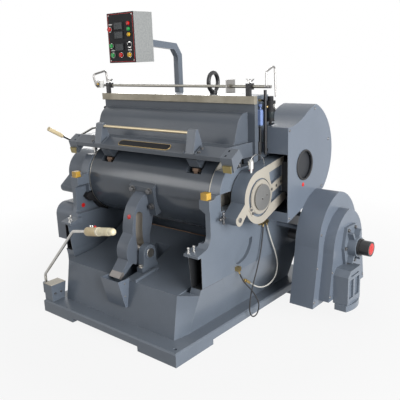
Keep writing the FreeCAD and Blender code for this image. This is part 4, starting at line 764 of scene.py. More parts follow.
@dataclass
class Castings:
    """Fasteners and fittings on the frame castings."""

    pin_y: float = 322.0
    pin_z: float = 462.0
    pin_end: float = 114.8
    pin_ring: Profile = ((0, 30), (4, 30), (6, 27), (6, 22), (3, 21), (3, 8), (4.5, 7))
    foot_x: float = 88.0
    foot_z: float = 380.0
    foot_rows: Pair = (-60.0, 58.0)
    foot_bolt: Pair = (14.0, 18.0)
    stud: Profile = ((0, 9), (7, 9), (9, 5.2), (24, 5.2), (27, 8), (33, 8), (36, 5))
    stud_spots: Sequence[Pair] = ((527, 216), (544, 242))
    ledge: Pair = (202.0, 571.0)
    ledge_slope: float = 20 / 79
    cap_x: float = 568.0
    cap_top: float = 993.0
    cap_rows: Pair = (540.0, 640.0)
    cap_bolt: Pair = (13.0, 14.0)
    chute_sides: Pair = (100.0, -58.0)
    chute_spots: Sequence[Pair] = ((112, 326), (110, 246))
    chute_screw: Pair = (6.0, 3.0)
    bar_x: float = -570.4
    bar_width: float = 43.2
    bar_edge: float = 1.2
    bar_outline: Sequence[Pair] = ((377, 716), (400, 742), (446, 740), (476, 708), (520, 664), (556, 645),
                                   (556, 588), (498, 612), (450, 672), (404, 684))
    pipe_stops: Sequence[float] = (-478, -240, 0, 240, 478)
    pipe_spot: Pair = (665.0, 503.5)
    pipe_r: float = 4.2
    oil_spot: Point = (570.0, 372.0, 652.0)
    oil_mark: Profile = ((0, 15), (1.2, 15), (2, 13))

    def build(self) -> None:
        """Adds every fastener and fitting of the castings."""
        self.pivot_bolts()
        self.ledge_studs()
        self.cap_bolts()
        self.chute_screws()
        self.inner_bar()
        points = [mm(x, *self.pipe_spot) for x in self.pipe_stops]
        fit(Bench.pipe("copper_pipe", points, self.pipe_r), BROWN, Body.FRAME)
        self.oil_points()

    def pivot_bolts(self) -> None:
        """Foot bolts of the pivot blocks and the rings on the pin's ends."""
        places = [(mm(side * self.foot_x, self.pin_y + row, self.foot_z), UP)
                  for side in (-1, 1) for row in self.foot_rows]
        fit(Bench.repeated("pivot_bolts", Bench.hex_bolt(self.foot_bolt), places), MACHINED, Body.FRAME)
        rings = [Bench.turned("ring", self.pin_ring, mm(side * self.pin_end, self.pin_y, self.pin_z), way, Facets.RING)
                 for side, way in ((1, RIGHT), (-1, LEFT))]
        fit(Bench.joined("pin_end_rings", rings), MACHINED, Body.FRAME)

    def ledge_studs(self) -> None:
        """Upright studs on the front ledges of the side frames."""
        front, height = self.ledge
        spots = [mm(side * x, y, height + (y - front) * self.ledge_slope)
                 for side in (-1, 1) for x, y in self.stud_spots]
        studs = [Bench.turned("stud", self.stud, at, UP, Facets.STUD) for at in spots]
        fit(Bench.joined("ledge_studs", studs), POLISHED, Body.FRAME)

    def cap_bolts(self) -> None:
        """Bolts through the guideway caps."""
        places = [(mm(side * self.cap_x, row, self.cap_top), UP) for side in (-1, 1) for row in self.cap_rows]
        fit(Bench.repeated("cap_bolts", Bench.socket_screw(self.cap_bolt), places), DARK_STEEL, Body.FRAME)

    def chute_screws(self) -> None:
        """Two screws on each side of the chute."""
        places = [(mm(x, y, z), way) for y, z in self.chute_spots for x, way in zip(self.chute_sides, (RIGHT, LEFT))]
        fit(Bench.repeated("chute_screws", Bench.pan_screw(self.chute_screw), places), DARK_STEEL, Body.FRAME)

    def inner_bar(self) -> None:
        """Black curved bar on the inside of the left side frame."""
        Bench.clear()
        bpy.ops.mesh.primitive_circle_add(vertices=len(self.bar_outline), radius=1.0, fill_type="NGON")
        bar = Bench.named("inner_bar")
        for vertex, (y, z) in zip(bar.data.vertices, self.bar_outline):
            vertex.co = mm(self.bar_x, y, z)
        bpy.ops.object.mode_set(mode="EDIT")
        bpy.ops.mesh.select_all(action="SELECT")
        bpy.ops.mesh.extrude_region_move(TRANSFORM_OT_translate={"value": shift(self.bar_width, 0, 0)})
        bpy.ops.mesh.select_all(action="SELECT")
        bpy.ops.mesh.normals_make_consistent(inside=False)
        bpy.ops.object.mode_set(mode="OBJECT")
        Bench.round_edges(bar, self.bar_edge)
        fit(Bench.settle(bar), BLACK_PLASTIC, Body.FRAME)

    def oil_points(self) -> None:
        """Plain red marks at the oiling points inside the side frames."""
        x, y, z = self.oil_spot
        for side, way, label in ((-1, RIGHT, "left"), (1, LEFT, "right")):
            fit(Bench.turned(label + "_oil_point", self.oil_mark, mm(side * x, y, z), way), RED, Body.FRAME)


@dataclass
class PlatenTrim:
    """Fasteners and trim that ride on the platen and its safety bar."""

    bracket_top: Pair = (385.4, 851.0)
    bracket_fall: Pair = (20.0, 175.0)
    bracket_x: float = 73.0
    bracket_rows: Pair = (831.0, 733.0)
    bracket_bolt: Pair = (17.0, 22.0)
    beam_lip: Pair = (395.0, 1086.0)
    beam_crest: Pair = (462.0, 1128.0)
    post_x: float = 398.0
    strip_half: Point = (4.5, 36.0, 6.0)
    strip_edge: float = 1.2
    strip_gap: float = 44.0
    post_bolt: Pair = (8.0, 9.0)
    post_bolt_gap: float = 62.0
    post_bolt_shares: Pair = (0.3, 0.7)
    nut: Profile = ((0, 26), (18, 26), (20, 23), (20, 13), (34, 12))
    nut_spot: Point = (376.0, 486.0, 987.0)
    nut_lean: Point = (0.0, -0.25, -1.0)
    nut_edge: float = 1.2
    plate_spot: Pair = (8.0, 0.46)
    plate_rim: Point = (222.0, 26.0, 3.0)
    plate_field: Point = (218.0, 22.0, 4.0)
    plate_edge: float = 0.8
    knob: Profile = ((0, 5), (12, 5), (14, 11), (26, 12), (30, 8))
    knob_spot: Pair = (-640.0, 714.0)
    knob_rows: Pair = (1285.0, 1225.0)
    oil_spot: Point = (3.0, 269.2, 686.0)
    oil_lean: Point = (0.0, -1.0, 0.33)
    oil_mark: Profile = ((-2, 14), (1.8, 14), (2.6, 12))
    case_spot: Point = (-671.0, 674.0, 1452.0)
    case_collar: Profile = ((0, 10.5), (3, 10.5), (4, 9.5), (4, 7.8))
    case_knob: Profile = ((2, 7.4), (9, 7.4), (11.5, 5.8), (12.2, 3))
    wing_spot: Point = (598.0, 718.0, 1464.0)
    wing_hub: Profile = ((0, 10), (6, 10), (14, 8), (15, 6.4))
    wing_half: Point = (2.2, 7.0, 24.0)
    wing_edge: float = 1.8
    wing_root: Point = (7.0, 0.0, 5.0)
    wing_angle: float = 48.0

    def build(self) -> None:
        """Adds every piece of the platen's trim."""
        self.bracket_bolts()
        self.post_feet()
        self.lug_nuts()
        self.name_plate()
        self.edge_knobs()
        mark = Bench.turned("arm_oil_point", self.oil_mark, mm(*self.oil_spot), Vector(self.oil_lean).normalized())
        fit(mark, RED, Body.PLATEN)
        for name, profile, finish in (("case_collar", self.case_collar, BLACK_PLASTIC),
                                      ("case_knob", self.case_knob, AMBER)):
            fit(Bench.turned(name, profile, mm(*self.case_spot), FRONT, Facets.COLLAR), finish, Body.SAFETY_BAR)
        self.wing_nuts()

    def bracket_bolts(self) -> None:
        """Hexagon bolts on the arm bracket's leaning front face."""
        (top_y, top_z), (run, drop) = self.bracket_top, self.bracket_fall
        lean = Vector((0, -drop, -run)).normalized()
        places = [(mm(x, top_y + (top_z - z) * run / drop, z), lean)
                  for x in (-self.bracket_x, self.bracket_x) for z in self.bracket_rows]
        fit(Bench.repeated("bracket_bolts", Bench.hex_bolt(self.bracket_bolt), places), DARK_STEEL, Body.PLATEN)

    def incline(self, x: float, share: float, lift: float = 0.0) -> Vector:
        """Point on the beam's sloped top.

        Args:
            x: Place across the machine, in millimetres.
            share: 0 at the front lip and 1 at the crest.
            lift: Height above the slope, in millimetres.

        Returns:
            The point in metres.
        """
        (y, z), (crest_y, crest_z) = self.beam_lip, self.beam_crest
        run, rise = crest_y - y, crest_z - z
        length = math.hypot(run, rise)
        return mm(x, y + run * share - lift * rise / length, z + rise * share + lift * run / length)

    def outward(self) -> Vector:
        """Direction that stands on the beam's sloped top."""
        return (self.incline(0, 0, 10) - self.incline(0, 0)).normalized()

    def post_feet(self) -> None:
        """Raised strips beside the feed posts, and the posts' foot bolts."""
        strips: List[Piece] = []
        places: List[Tuple[Vector, Vector]] = []
        out = self.outward()
        wide, long, high = self.strip_half
        for side in (-1, 1):
            for gap in (self.strip_gap, -self.strip_gap):
                strip = Bench.block("strip", shift(-wide, -long, 0), shift(wide, long, high), self.strip_edge)
                strip.data.transform(Matrix.Translation(self.incline(side * (self.post_x + gap), 0.5)) @ facing(out))
                strips.append(strip)
            x = side * (self.post_x + self.post_bolt_gap)
            places += [(self.incline(x, share), out) for share in self.post_bolt_shares]
        fit(Bench.joined("post_feet", strips), PLATEN_PAINT, Body.PLATEN)
        fit(Bench.repeated("post_bolts", Bench.hex_bolt(self.post_bolt), places), DARK_STEEL, Body.PLATEN)

    def lug_nuts(self) -> None:
        """Nuts on the studs under the beam's lugs."""
        x, y, z = self.nut_spot
        way = Vector(self.nut_lean).normalized()
        nuts = [Bench.turned("nut", self.nut, mm(side * x, y, z), way, Facets.HEX, self.nut_edge) for side in (-1, 1)]
        fit(Bench.joined("lug_nuts", nuts), BROWN, Body.PLATEN)

    def name_plate(self) -> None:
        """Plain oval plate on the beam's sloped top, with a brass rim."""
        rise = (self.incline(0, 1) - self.incline(0, 0)).normalized()
        out = self.outward()
        basis = Matrix((RIGHT, rise, out)).transposed().to_4x4()
        for name, size, finish in (("plate_rim", self.plate_rim, BRASS),
                                   ("plate_field", self.plate_field, BLACK_PLASTIC)):
            length, height, lift = shift(*size)
            Bench.clear()
            bpy.ops.mesh.primitive_cylinder_add(vertices=Facets.OVAL, radius=height, depth=lift)
            piece = Bench.named(name)
            for vertex in piece.data.vertices:
                vertex.co.x += math.copysign(length - height, vertex.co.x)
            piece.matrix_world = Matrix.Translation(self.incline(*self.plate_spot) + out * lift / 2) @ basis
            Bench.settle(piece)
            Bench.round_edges(piece, self.plate_edge)
            fit(Bench.settle(piece), finish, Body.PLATEN)

    def edge_knobs(self) -> None:
        """Small knobs on the plate's left edge."""
        knobs = [Bench.turned("knob", self.knob, mm(*self.knob_spot, z), LEFT, Facets.SMALL) for z in self.knob_rows]
        fit(Bench.joined("edge_knobs", knobs), BLACK_PLASTIC, Body.PLATEN)

    def wing_nuts(self) -> None:
        """Wing nuts on the studs of the safety bar's brackets."""
        pieces = []
        x, y, z = self.wing_spot
        thick, wide, long = self.wing_half
        root_x, root_y, root_z = self.wing_root
        for side in (-1, 1):
            at = mm(side * x, y, z)
            pieces.append(Bench.turned("hub", self.wing_hub, at, UP, Facets.SCREW))
            for lean in (-1, 1):
                wing = Bench.block("wing", shift(-thick, -wide, 0), shift(thick, wide, long), self.wing_edge)
                turn = Matrix.Rotation(math.radians(self.wing_angle * lean), 4, "Y")
                wing.data.transform(Matrix.Translation(at + shift(lean * root_x, root_y, root_z)) @ turn)
                pieces.append(wing)
        fit(Bench.joined("wing_nuts", pieces), POLISHED, Body.PLATEN)


@dataclass
class RodFittings:
    """Screws, pins and oil pipes that ride with the connecting rods."""

    face: float = 708.0
    hub_face: float = 868.0
    ear: Pair = (449.0, 736.0)
    journal: Pair = (655.0, 825.0)
    bar_screw: Pair = (8.2, 7.8)
    bar_sink: float = 8.8
    bar_spots: Sequence[Pair] = ((770, 847), (820, 859), (868, 875))
    lock_bolt: Pair = (8.0, 8.0)
    lock_lift: float = 3.0
    lock_r: float = 117.0
    lock_angles: Pair = (207.0, 221.0)
    bush_start: float = 612.5
    bush_reach: float = 609.0
    bush_end: Profile = ((0, 13.9), (1, 12), (1, 8.5), (-6, 8.4))
    fitting_offset: Point = (632.0, -50.0, 10.0)
    fitting_stem: Profile = ((0, 6.2), (44, 6.2), (46, 8.5), (56, 8.5), (59, 6))
    stem_start: float = 24.0
    fitting_bar: Profile = ((0, 6), (3, 7.5), (16, 7.5), (19, 5.2), (52, 5.2), (55, 7.5), (66, 7.5), (69, 6))
    bar_start: float = -34.0
    pipe_inset: float = 30.0
    pipe_r: float = 2.4
    pipe_route: Sequence[Pair] = ((603, 1046), (622, 1066), (668, 1070), (712, 1048), (732, 1022), (736, 996))
    oil_x: float = 660.0
    oil_way: Point = (0.0, -28.0, 156.0)
    oil_r: float = 0.158
    oil_mark: Profile = ((-1, 12), (1.2, 12), (1.8, 10.5))

    def build(self) -> None:
        """Adds every fitting to both rods."""
        places = [(mm(self.face - self.bar_sink, y, z), RIGHT) for y, z in self.bar_spots]
        fit(Bench.repeated("rod_bar_screws", Bench.socket_screw(self.bar_screw), places), DARK_STEEL, Body.CARRIAGE)
        self.lock_bolts()
        self.ear_bush(1, RIGHT, "right", self.face)
        self.ear_bush(-1, LEFT, "left", self.hub_face)
        for side, label in ((1, "right"), (-1, "left")):
            points = [mm(side * (self.face - self.pipe_inset), y, z) for y, z in self.pipe_route]
            fit(Bench.pipe(label + "_oil_pipe", points, self.pipe_r), POLISHED, Body.CARRIAGE)
            self.cross_fitting(side, label)
        away = Vector(self.oil_way).normalized()
        at = mm(self.oil_x, *self.journal) + away * self.oil_r
        fit(Bench.turned("rod_oil_point", self.oil_mark, at, away), RED, Body.CARRIAGE)

    def lock_bolts(self) -> None:
        """Two bolts on the lock segment of the right rod's eccentric sleeve."""
        places = []
        for angle in (math.radians(degrees) for degrees in self.lock_angles):
            y, z = (mid + self.lock_r * part for mid, part in zip(self.journal, (math.cos(angle), math.sin(angle))))
            places.append((mm(self.face + self.lock_lift, y, z), RIGHT))
        bolts = Bench.repeated("right_lock_bolts", Bench.socket_screw(self.lock_bolt), places)
        fit(bolts, DARK_STEEL, Body.CARRIAGE)

    def ear_bush(self, side: int, way: Vector, label: str, face: float) -> None:
        """Bush in the ear of a rod.

        Args:
            side: 1 on the right and -1 on the left.
            way: Outward direction.
            label: Side in words.
            face: Outer face of the rod, in millimetres from the middle.
        """
        reach = face - self.bush_reach
        profile = ((0, self.bush_end[0][1]), *((reach + along, wide) for along, wide in self.bush_end))
        bush = Bench.turned(label + "_ear_bush", profile, mm(side * self.bush_start, *self.ear), way, Facets.COLLAR)
        fit(bush, DARK_STEEL, Body.CARRIAGE)

    def cross_fitting(self, side: int, label: str) -> None:
        """Cross-shaped grease fitting in front of a rod's ear."""
        x, y, z = (a + b for a, b in zip((0, *self.ear), self.fitting_offset))
        stem = Bench.turned("stem", self.fitting_stem, mm(side * x, y + self.stem_start, z), FRONT, Facets.SMALL)
        bar = Bench.turned("bar", self.fitting_bar, mm(side * x, y, z + self.bar_start), UP, Facets.SMALL)
        fit(Bench.joined(label + "_cross_fitting", [stem, bar]), DARK_STEEL, Body.CARRIAGE)


@dataclass
class Covers:
    """Screws and trim of the sheet-metal covers."""

    crank_face: float = 790.0
    fly_face: float = 950.0
    clutch_face: float = 1018.0
    union_end: float = 1168.0
    fly: Pair = (1160.0, 450.0)
    port: Point = (792.0, 1005.0, 960.0)
    port_r: float = 0.088
    rim_r: float = 0.006
    screw: Pair = (8.5, 4.5)
    crank_spots: Sequence[Pair] = ((830, 664), (830, 1188), (1120, 1288), (1300, 1080), (1222, 790))
    fly_spots: Sequence[Pair] = ((300, 150), (268, 360), (226, 560))
    clutch_spots: Sequence[Pair] = ((230, 180), (206, 330))
    bearing_bolt: Pair = (10.0, 11.0)
    flange: float = 20.0
    flange_spots: Sequence[Pair] = ((-46, 108), (46, 108), (80, 0), (46, -108), (-46, -108), (-80, 0))
    union: Profile = ((-10, 38), (-0.5, 38), (0, 36), (0, 20), (-2, 18))
    oil_spot: Pair = (990.0, 841.0)
    oil_mark: Profile = ((0, 13), (1.2, 13), (1.8, 11.5))

    def build(self) -> None:
        """Adds the covers' trim."""
        self.port_rims()
        self.cover_screws()
        fly_y, fly_z = self.fly
        places = [(mm(self.clutch_face + self.flange, fly_y + y, fly_z + z), RIGHT) for y, z in self.flange_spots]
        fit(Bench.repeated("bearing_bolts", Bench.hex_bolt(self.bearing_bolt), places), DARK_STEEL, Body.FRAME)
        fit(Bench.turned("union_face", self.union, mm(self.union_end, *self.fly), RIGHT, Facets.RING), RED, Body.FRAME)
        fit(Bench.turned("cover_oil_point", self.oil_mark, mm(self.crank_face, *self.oil_spot), RIGHT), RED, Body.FRAME)

    def port_rims(self) -> None:
        """Black edging round the ports of the crank covers."""
        rims = []
        x, y, z = self.port
        for side in (1, -1):
            Bench.clear()
            bpy.ops.mesh.primitive_torus_add(location=mm(side * x, y, z), rotation=(0, math.pi / 2, 0),
                                             major_radius=self.port_r, minor_radius=self.rim_r, major_segments=72,
                                             minor_segments=14)
            rims.append(Bench.settle(bpy.context.active_object))
        fit(Bench.joined("port_rims", rims), RUBBER, Body.FRAME)

    def cover_screws(self) -> None:
        """Screws round the edges of the covers; the left cover's last one is out of reach."""
        places = [(mm(self.crank_face, y, z), RIGHT) for y, z in self.crank_spots]
        places += [(mm(-self.crank_face, y, z), LEFT) for y, z in self.crank_spots[:-1]]
        for face, spots in ((self.fly_face, self.fly_spots), (self.clutch_face, self.clutch_spots)):
            places += [(mm(face, self.fly[0] + sign * half, z), RIGHT) for half, z in spots for sign in (-1, 1)]
        fit(Bench.repeated("cover_screws", Bench.pan_screw(self.screw), places), DARK_STEEL, Body.FRAME)


@dataclass
class ControlFace:
    """Front of the control box: border, lamps, windows, button caps and screws."""

    left: float = -628.0
    right: float = -366.0
    low: float = 1592.0
    high: float = 1922.0
    face: float = 758.0
    border_inset: float = 7.0
    border_width: float = 2.5
    border_depth: Pair = (-0.8, 0.5)
    border_edge: float = 0.2
    lamp: Profile = ((0, 12.5), (10, 12.5), (11.5, 11.8), (12.8, 9), (13.4, 4))
    lamp_inset: Pair = (50.0, 74.0)
    lamp_pitch: float = 36.0
    pane_drops: Sequence[float] = (112, 172, 252)
    pane_span: Pair = (74.0, 154.0)
    pane_rise: Pair = (4.0, 48.0)
    pane_depth: Pair = (-8.0, -5.5)
    pane_edge: float = 0.8
    stop_inset: Pair = (26.0, 106.0)
    start_inset: Pair = (32.0, 216.0)
    row_insets: Sequence[float] = (44, 128, 212)
    row_rise: float = 52.0
    bezel: Profile = ((0, 18), (2.2, 18), (3, 17), (3, 14), (0.8, 13.6))
    cap: Profile = ((0, 14.8), (1.2, 15.6), (6.2, 15.3), (7.6, 13.8), (8.3, 10))
    cap_back: float = 8.5
    ring: Profile = ((0, 21.5), (2.2, 21.5), (3, 20.5), (3, 17), (0.8, 16.6))
    selector_spot: Pair = (214.0, 118.0)
    pointer_half: float = 1.6
    pointer_depth: Pair = (-22.8, -20.0)
    pointer_rise: Pair = (-2.0, 13.0)
    pointer_edge: float = 0.6
    strip_half: Pair = (17.0, 4.0)
    strip_depth: Pair = (-1.0, 0.4)
    strip_rise: float = 32.0
    strip_edge: float = 0.3
    screw: Pair = (4.5, 2.5)
    screw_inset: float = 16.0

    def build(self) -> None:
        """Adds the parts of the control face."""
        self.border()
        self.lamps()
        across = [self.left + x for x in self.pane_span]
        rises = [[self.high - drop + z for z in self.pane_rise] for drop in self.pane_drops]
        panes = [self.bar("pane", across, self.pane_depth, rise, self.pane_edge) for rise in rises]
        fit(Bench.joined("face_windows", panes), SMOKED, Body.FRAME)
        self.buttons()
        self.selector()
        self.strips()
        places = [(mm(x, self.face, z), FRONT) for x in (self.left + self.screw_inset, self.right - self.screw_inset)
                  for z in (self.low + self.screw_inset, self.high - self.screw_inset)]
        fit(Bench.repeated("face_screws", Bench.pan_screw(self.screw), places), POLISHED, Body.FRAME)

    def bar(self, name: str, across: Sequence[float], depth: Pair, rise: Sequence[float],
            edge: float) -> Piece:
        """Block on the face.

        Args:
            name: Name of the piece.
            across: Left and right limits, in millimetres.
            depth: Front and back limits, counted from the face.
            rise: Low and high limits.
            edge: Rounding of the edges.

        Returns:
            The new piece.
        """
        low, high = (mm(x, self.face + y, z) for x, y, z in zip(across, depth, rise))
        return Bench.block(name, low, high, edge)

    def border(self) -> None:
        """Thin red line round the black face."""
        inset, width = self.border_inset, self.border_width
        left, right, low, high = self.left + inset, self.right - inset, self.low + inset, self.high - inset
        bars = [self.bar("line", across, self.border_depth, rise, self.border_edge) for across, rise in (
            ((left, right), (high - width, high)), ((left, right), (low, low + width)),
            ((left, left + width), (low, high)), ((right - width, right), (low, high)))]
        fit(Bench.joined("face_border", bars), RED, Body.FRAME)

    def lamps(self) -> None:
        """Domed lamps in the right column."""
        inset, drop = self.lamp_inset
        for i, finish in enumerate((RED, GREEN, YELLOW)):
            at = mm(self.right - inset, self.face, self.high - drop - self.lamp_pitch * i)
            fit(Bench.turned(f"lamp_{i + 1}", self.lamp, at, FRONT, Facets.COLLAR), finish, Body.FRAME)

    def spots(self) -> Dict[Body, Pair]:
        """Places of the push buttons across and up the face, in millimetres."""
        column = [(self.left + x, self.high - drop) for x, drop in (self.stop_inset, self.start_inset)]
        row = [(self.left + x, self.low + self.row_rise) for x in self.row_insets]
        return dict(zip((Body.STOP, Body.START, Body.INCH, Body.RESET, Body.COUNT), column + row))

    def buttons(self) -> None:
        """Bright rings round the push buttons, and domed caps that move with them."""
        places = [(mm(x, self.face, z), FRONT) for x, z in self.spots().values()]
        bezel = Bench.turned("bezel", self.bezel, sides=Facets.RING)
        fit(Bench.repeated("button_bezels", bezel, places), POLISHED, Body.FRAME)
        for (body, (x, z)), finish in zip(self.spots().items(), (RED, GREEN, GREEN, RED, YELLOW)):
            cap = Bench.turned(body.value + "_cap", self.cap, mm(x, self.face - self.cap_back, z), FRONT, Facets.GRIP)
            fit(cap, finish, body)

    def selector(self) -> None:
        """Bright ring under the selector, and the pointer on its knob."""
        x, z = self.left + self.selector_spot[0], self.low + self.selector_spot[1]
        fit(Bench.turned("selector_ring", self.ring, mm(x, self.face, z), FRONT, Facets.RING), POLISHED, Body.FRAME)
        pointer = self.bar("selector_pointer", (x - self.pointer_half, x + self.pointer_half), self.pointer_depth,
                           [z + rise for rise in self.pointer_rise], self.pointer_edge)
        fit(pointer, WHITE, Body.SELECTOR)

    def strips(self) -> None:
        """Plain pale strips over the push buttons, apart from the middle one of the left column."""
        spots = self.spots()
        wide, high = self.strip_half
        bars = []
        for x, z in [spots[body] for body in (Body.INCH, Body.RESET, Body.COUNT)] + [
                (spots[Body.START][0], spots[Body.STOP][1])]:
            z += self.strip_rise
            across, rise = (x - wide, x + wide), (z - high, z + high)
            bars.append(self.bar("strip", across, self.strip_depth, rise, self.strip_edge))
        fit(Bench.joined("face_strips", bars), WHITE, Body.FRAME)


@dataclass
class LeverGrip:
    """Ribbed grip of the clutch lever, over its solid core."""

    start: Point = (-110.0, 44.0, 632.0)
    lean: Point = (152.0, 0.0, 26.0)
    sleeve: Profile = ((-12, 22), (-10, 27.5), (40, 27.8), (88, 27.5), (94, 26.5))
    sleeve_edge: float = 1.0
    collar: Profile = ((94, 26.5), (100, 27))
    ribs: int = 6
    rib_start: float = 104.0
    rib_pitch: float = 16.0
    rib: Profile = ((0, 22), (3, 24.5), (11, 24.5), (14, 22))
    tip: Profile = ((204, 22.2), (220, 22.2), (230, 19.5), (237, 13.5), (239.2, 6))
    stud: Profile = ((0, 5), (10, 5), (13, 3.5))
    stud_stops: Pair = (0.028, 0.048)
    push: Profile = ((0, 7), (8, 7), (11, 5.5))
    push_stop: float = 0.070
    top: float = 0.026

    def build(self) -> None:
        """Adds the grip, its ribs and the small buttons on top."""
        way = Vector(self.lean).normalized()
        at = mm(*self.start)
        fit(Bench.turned("lever_sleeve", self.sleeve, at, way, Facets.GRIP, self.sleeve_edge), CREAM, Body.CLUTCH_LEVER)
        ribs = [(self.rib_start + self.rib_pitch * i + along, radius) for i in range(self.ribs)
                for along, radius in self.rib]
        fit(Bench.turned("lever_tip", (*self.collar, *ribs, *self.tip), at, way, Facets.GRIP), IVORY, Body.CLUTCH_LEVER)
        side = UP - way * way.z
        places = [(at + way * stop + side * self.top, side) for stop in self.stud_stops]
        studs = Bench.repeated("lever_studs", Bench.turned("stud", self.stud, sides=Facets.PIN), places)
        fit(studs, POLISHED, Body.CLUTCH_LEVER)
        push = Bench.turned("lever_push", self.push, at + way * self.push_stop + side * self.top, side, Facets.SMALL)
        fit(push, RED, Body.CLUTCH_LEVER)


@dataclass
class AirFittings:
    """Brass fittings, gauge and bowl of the air unit."""

    x: float = 640.0
    y: float = 862.0
    reach: float = 28.0
    elbow: Profile = ((0, 9), (14, 9), (16, 6.5))
    elbow_z: float = 1320.0
    elbow_edge: float = 0.6
    front_end: Pair = (30.0, 6.5)
    back_end: Pair = (26.0, 6.5)
    bowl: Profile = ((0, 19.2), (4, 20.5), (50, 24.8), (58, 25.2))
    bowl_z: float = 1232.0
    gauge: Profile = ((0, 15), (12, 15), (13, 13.5), (11, 13))
    gauge_z: float = 1322.0

    def build(self) -> None:
        """Adds the air unit's fittings."""
        stems = []
        for sign, way, end in ((-1, FRONT, self.front_end), (1, BACK, self.back_end)):
            at = mm(self.x, self.y + sign * self.reach, self.elbow_z)
            stems.append(Bench.turned("elbow", (*self.elbow, end), at, way, Facets.HEX, self.elbow_edge))
        fit(Bench.joined("air_elbows", stems), BRASS, Body.FRAME)
        fit(Bench.turned("air_bowl", self.bowl, mm(self.x, self.y, self.bowl_z), UP, Facets.GRIP), SMOKED, Body.FRAME)
        dial = Bench.turned("air_gauge", self.gauge, mm(self.x + self.reach, self.y, self.gauge_z), RIGHT)
        fit(dial, WHITE, Body.FRAME)


@dataclass
class LeverBlock:
    """Plate and bolts of the clutch lever's bracket."""

    plate_low: Point = (-593.0, 10.0, 192.0)
    plate_high: Point = (-510.0, 120.0, 197.0)
    plate_edge: float = 1.0
    right: float = -512.0
    screw: Pair = (7.0, 6.0)
    screw_rows: Pair = (36.0, 84.0)
    screw_z: float = 132.0

    def build(self) -> None:
        """Adds the top plate and the side bolts."""
        plate = Bench.block("bracket_plate", mm(*self.plate_low), mm(*self.plate_high), self.plate_edge)
        fit(plate, BEIGE, Body.FRAME)
        places = [(mm(self.right, y, self.screw_z), RIGHT) for y in self.screw_rows]
        fit(Bench.repeated("bracket_screws", Bench.socket_screw(self.screw), places), DARK_STEEL, Body.FRAME)


@dataclass
class Cords:
    """Hanging cable and air hose beside the right side frame."""

    cable_d: float = 0.008
    hose_d: float = 0.009
    cable_length: float = 1.0432
    hose_length: float = 0.6775
    cable: Tuple[Point, ...] = (
        (616, 817, 612), (619, 800, 512), (622, 768, 412), (624, 724, 320), (626, 674, 232), (628, 642, 140),
        (630, 640, 78), (634, 666, 42), (638, 704, 46), (642, 722, 82), (645, 716, 128), (646, 686, 178),
        (644, 646, 232), (637, 600, 282), (628, 566, 330), (618, 548, 388))
    hose: Tuple[Point, ...] = (
        (616, 849, 612), (620, 870, 536), (625, 902, 456), (629, 940, 372), (632, 956, 292), (632, 930, 228),
        (630, 872, 196), (626, 800, 194), (616, 732, 216), (600, 684, 258))
    ferrule: Profile = ((-4, 1.9), (10, 1.8), (12, 1.5), (24, 1.2))

    def build(self) -> None:
        """Adds both cords and their ferrules."""
        self.hang("hanging_cable", self.cable, self.cable_d, RUBBER, "signal_cable")
        self.hang("hanging_hose", self.hose, self.hose_d, HOSE, "air_hose")
        self.ferrules()

    def hang(self, name: str, route: Sequence[Point], thick: float, finish: Finish, node: str) -> None:
        """Adds one cord along its route.

        Args:
            name: Name of the piece.
            route: Control points in millimetres.
            thick: Diameter in metres.
            finish: Surface finish.
            node: Solid that the cord stands for.
        """
        points = [mm(*point) for point in route]
        cord = Bench.curve(name, points, thick * 1000.0 / 2)
        cord.data.materials.append(PAINTBOX.material(finish))
        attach(cord, Body.FRAME.value)
        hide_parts(node)
        log.info("hung %s", name)

    def ferrules(self) -> None:
        """Collars where the cords leave their fittings; the profile's widths are shares of the cord's radius."""
        collars = []
        for route, thick in ((self.cable, self.cable_d), (self.hose, self.hose_d), (self.cable[::-1], self.cable_d)):
            start, inner = mm(*route[0]), mm(*route[1])
            profile = [(along, share * thick * 1000.0 / 2) for along, share in self.ferrule]
            collars.append(Bench.turned("ferrule", profile, start, (inner - start).normalized(), Facets.SCREW))
        fit(Bench.joined("cord_ferrules", collars), BRASS, Body.FRAME)


@dataclass(frozen=True)
class Lamp:
    """Square soft lamp; lengths in metres and power in watts."""

    name: str
    at: Point
    size: float
    power: float

    def build(self, aim: Vector) -> None:
        """Adds the lamp.

        Args:
            aim: Point that it shines at.
        """
        data = bpy.data.lights.new(self.name, "AREA")
        data.shape = "SQUARE"
        data.size = self.size
        data.energy = self.power
        lamp = bpy.data.objects.new(self.name, data)
        lamp.location = self.at
        lamp.rotation_mode = "QUATERNION"
        lamp.rotation_quaternion = (aim - Vector(self.at)).to_track_quat("-Z", "Y")
        bpy.context.scene.collection.objects.link(lamp)


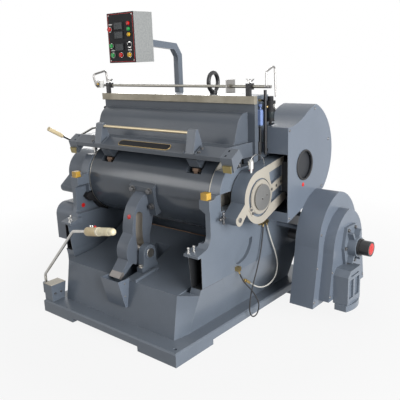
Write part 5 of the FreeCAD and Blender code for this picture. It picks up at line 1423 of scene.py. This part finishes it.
@dataclass
class Studio:
    """Floor, light and camera; lengths in metres and angles in degrees."""

    eye: Point = (2.4406, -2.6627, 1.6200)
    azimuth: float = 40.5
    pitch: float = 14.59
    roll: float = 2.04
    lens: float = 49.82
    sensor: float = 36.0
    sight: float = 200.0
    aim: Point = (0.1, 0.0, 0.8)
    lamps: Tuple[Lamp, ...] = (
        Lamp("key", (5.8, -1.2, 2.1), 4.6, 560.0), Lamp("fill", (-4.2, -5.0, 2.6), 2.2, 66.0),
        Lamp("top", (0.6, -0.4, 5.4), 3.6, 35.0), Lamp("back", (-4.4, 4.6, 2.8), 2.6, 170.0))
    floor_size: float = 60.0
    floor_grey: Tuple[float, ...] = (0.38, 0.38, 0.38, 1.0)
    shadow_reach: Pair = (1.2, 3.2)
    floor_light: Pair = (0.89, 1.0)
    white: Tuple[float, ...] = (1.0, 1.0, 1.0, 1.0)
    sky: Tuple[float, ...] = (0.93, 0.96, 1.0, 1.0)
    sky_light: float = 0.17

    def build(self) -> None:
        """Sets up the studio."""
        self.camera()
        for lamp in self.lamps:
            lamp.build(Vector(self.aim))
        self.floor()
        self.world()
        bpy.context.scene.view_settings.view_transform = "Standard"

    def camera(self) -> None:
        """Places the camera at the photograph's view."""
        a, p, r = (math.radians(v) for v in (self.azimuth, self.pitch, self.roll))
        ahead = Vector((-math.sin(a) * math.cos(p), math.cos(a) * math.cos(p), -math.sin(p)))
        right = Vector((math.cos(a), math.sin(a), 0.0))
        down = ahead.cross(right)
        image_right = right * math.cos(r) + down * math.sin(r)
        image_down = down * math.cos(r) - right * math.sin(r)
        data = bpy.data.cameras.new("camera")
        data.sensor_width = self.sensor
        data.lens = self.lens
        data.clip_end = self.sight
        eye = bpy.data.objects.new("camera", data)
        turn = Matrix((image_right, -image_down, -ahead)).transposed()
        eye.matrix_world = Matrix.Translation(Vector(self.eye)) @ turn.to_4x4()
        bpy.context.scene.collection.objects.link(eye)
        bpy.context.scene.camera = eye

    def floor(self) -> None:
        """Pale floor that keeps a soft shadow near the press."""
        Bench.clear()
        bpy.ops.mesh.primitive_plane_add(size=self.floor_size)
        floor = Bench.named("floor")
        graph = Graph(bpy.data.materials.new("pale_floor"))
        matt = graph.node("BsdfDiffuse", {"Color": self.floor_grey})
        bright = graph.node("Emission", {"Color": self.white, "Strength": 1.0})
        away = graph.vector("LENGTH", graph.node("TexCoord").outputs["Object"]).outputs["Value"]
        share = graph.math("MULTIPLY", graph.seen(), graph.ramp(away, self.shadow_reach, self.floor_light))
        mixed = graph.node("MixShader", {0: share, 1: matt.outputs[0], 2: bright.outputs[0]})
        graph.node("OutputMaterial", {"Surface": mixed.outputs[0]})
        floor.data.materials.append(graph.owner)

    def world(self) -> None:
        """White backdrop for what is seen and soft even light for the object."""
        graph = Graph(bpy.data.worlds.new("studio"))
        bpy.context.scene.world = graph.owner
        soft = graph.node("Background", {0: self.sky, 1: self.sky_light})
        white = graph.node("Background", {0: self.white, 1: 1.0})
        mixed = graph.node("MixShader", {0: graph.seen(), 1: soft.outputs[0], 2: white.outputs[0]})
        graph.node("OutputWorld", {0: mixed.outputs[0]})


def main() -> None:
    """Builds the studio and dresses the press."""
    logging.basicConfig(level=logging.INFO)
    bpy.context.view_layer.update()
    Studio().build()
    PAINTBOX.dress_nodes()
    for part in (Cords(), Castings(), PlatenTrim(), RodFittings(), Covers(), ControlFace(), LeverGrip(),
                 AirFittings(), LeverBlock()):
        part.build()


if __name__ == "__main__":
    main()
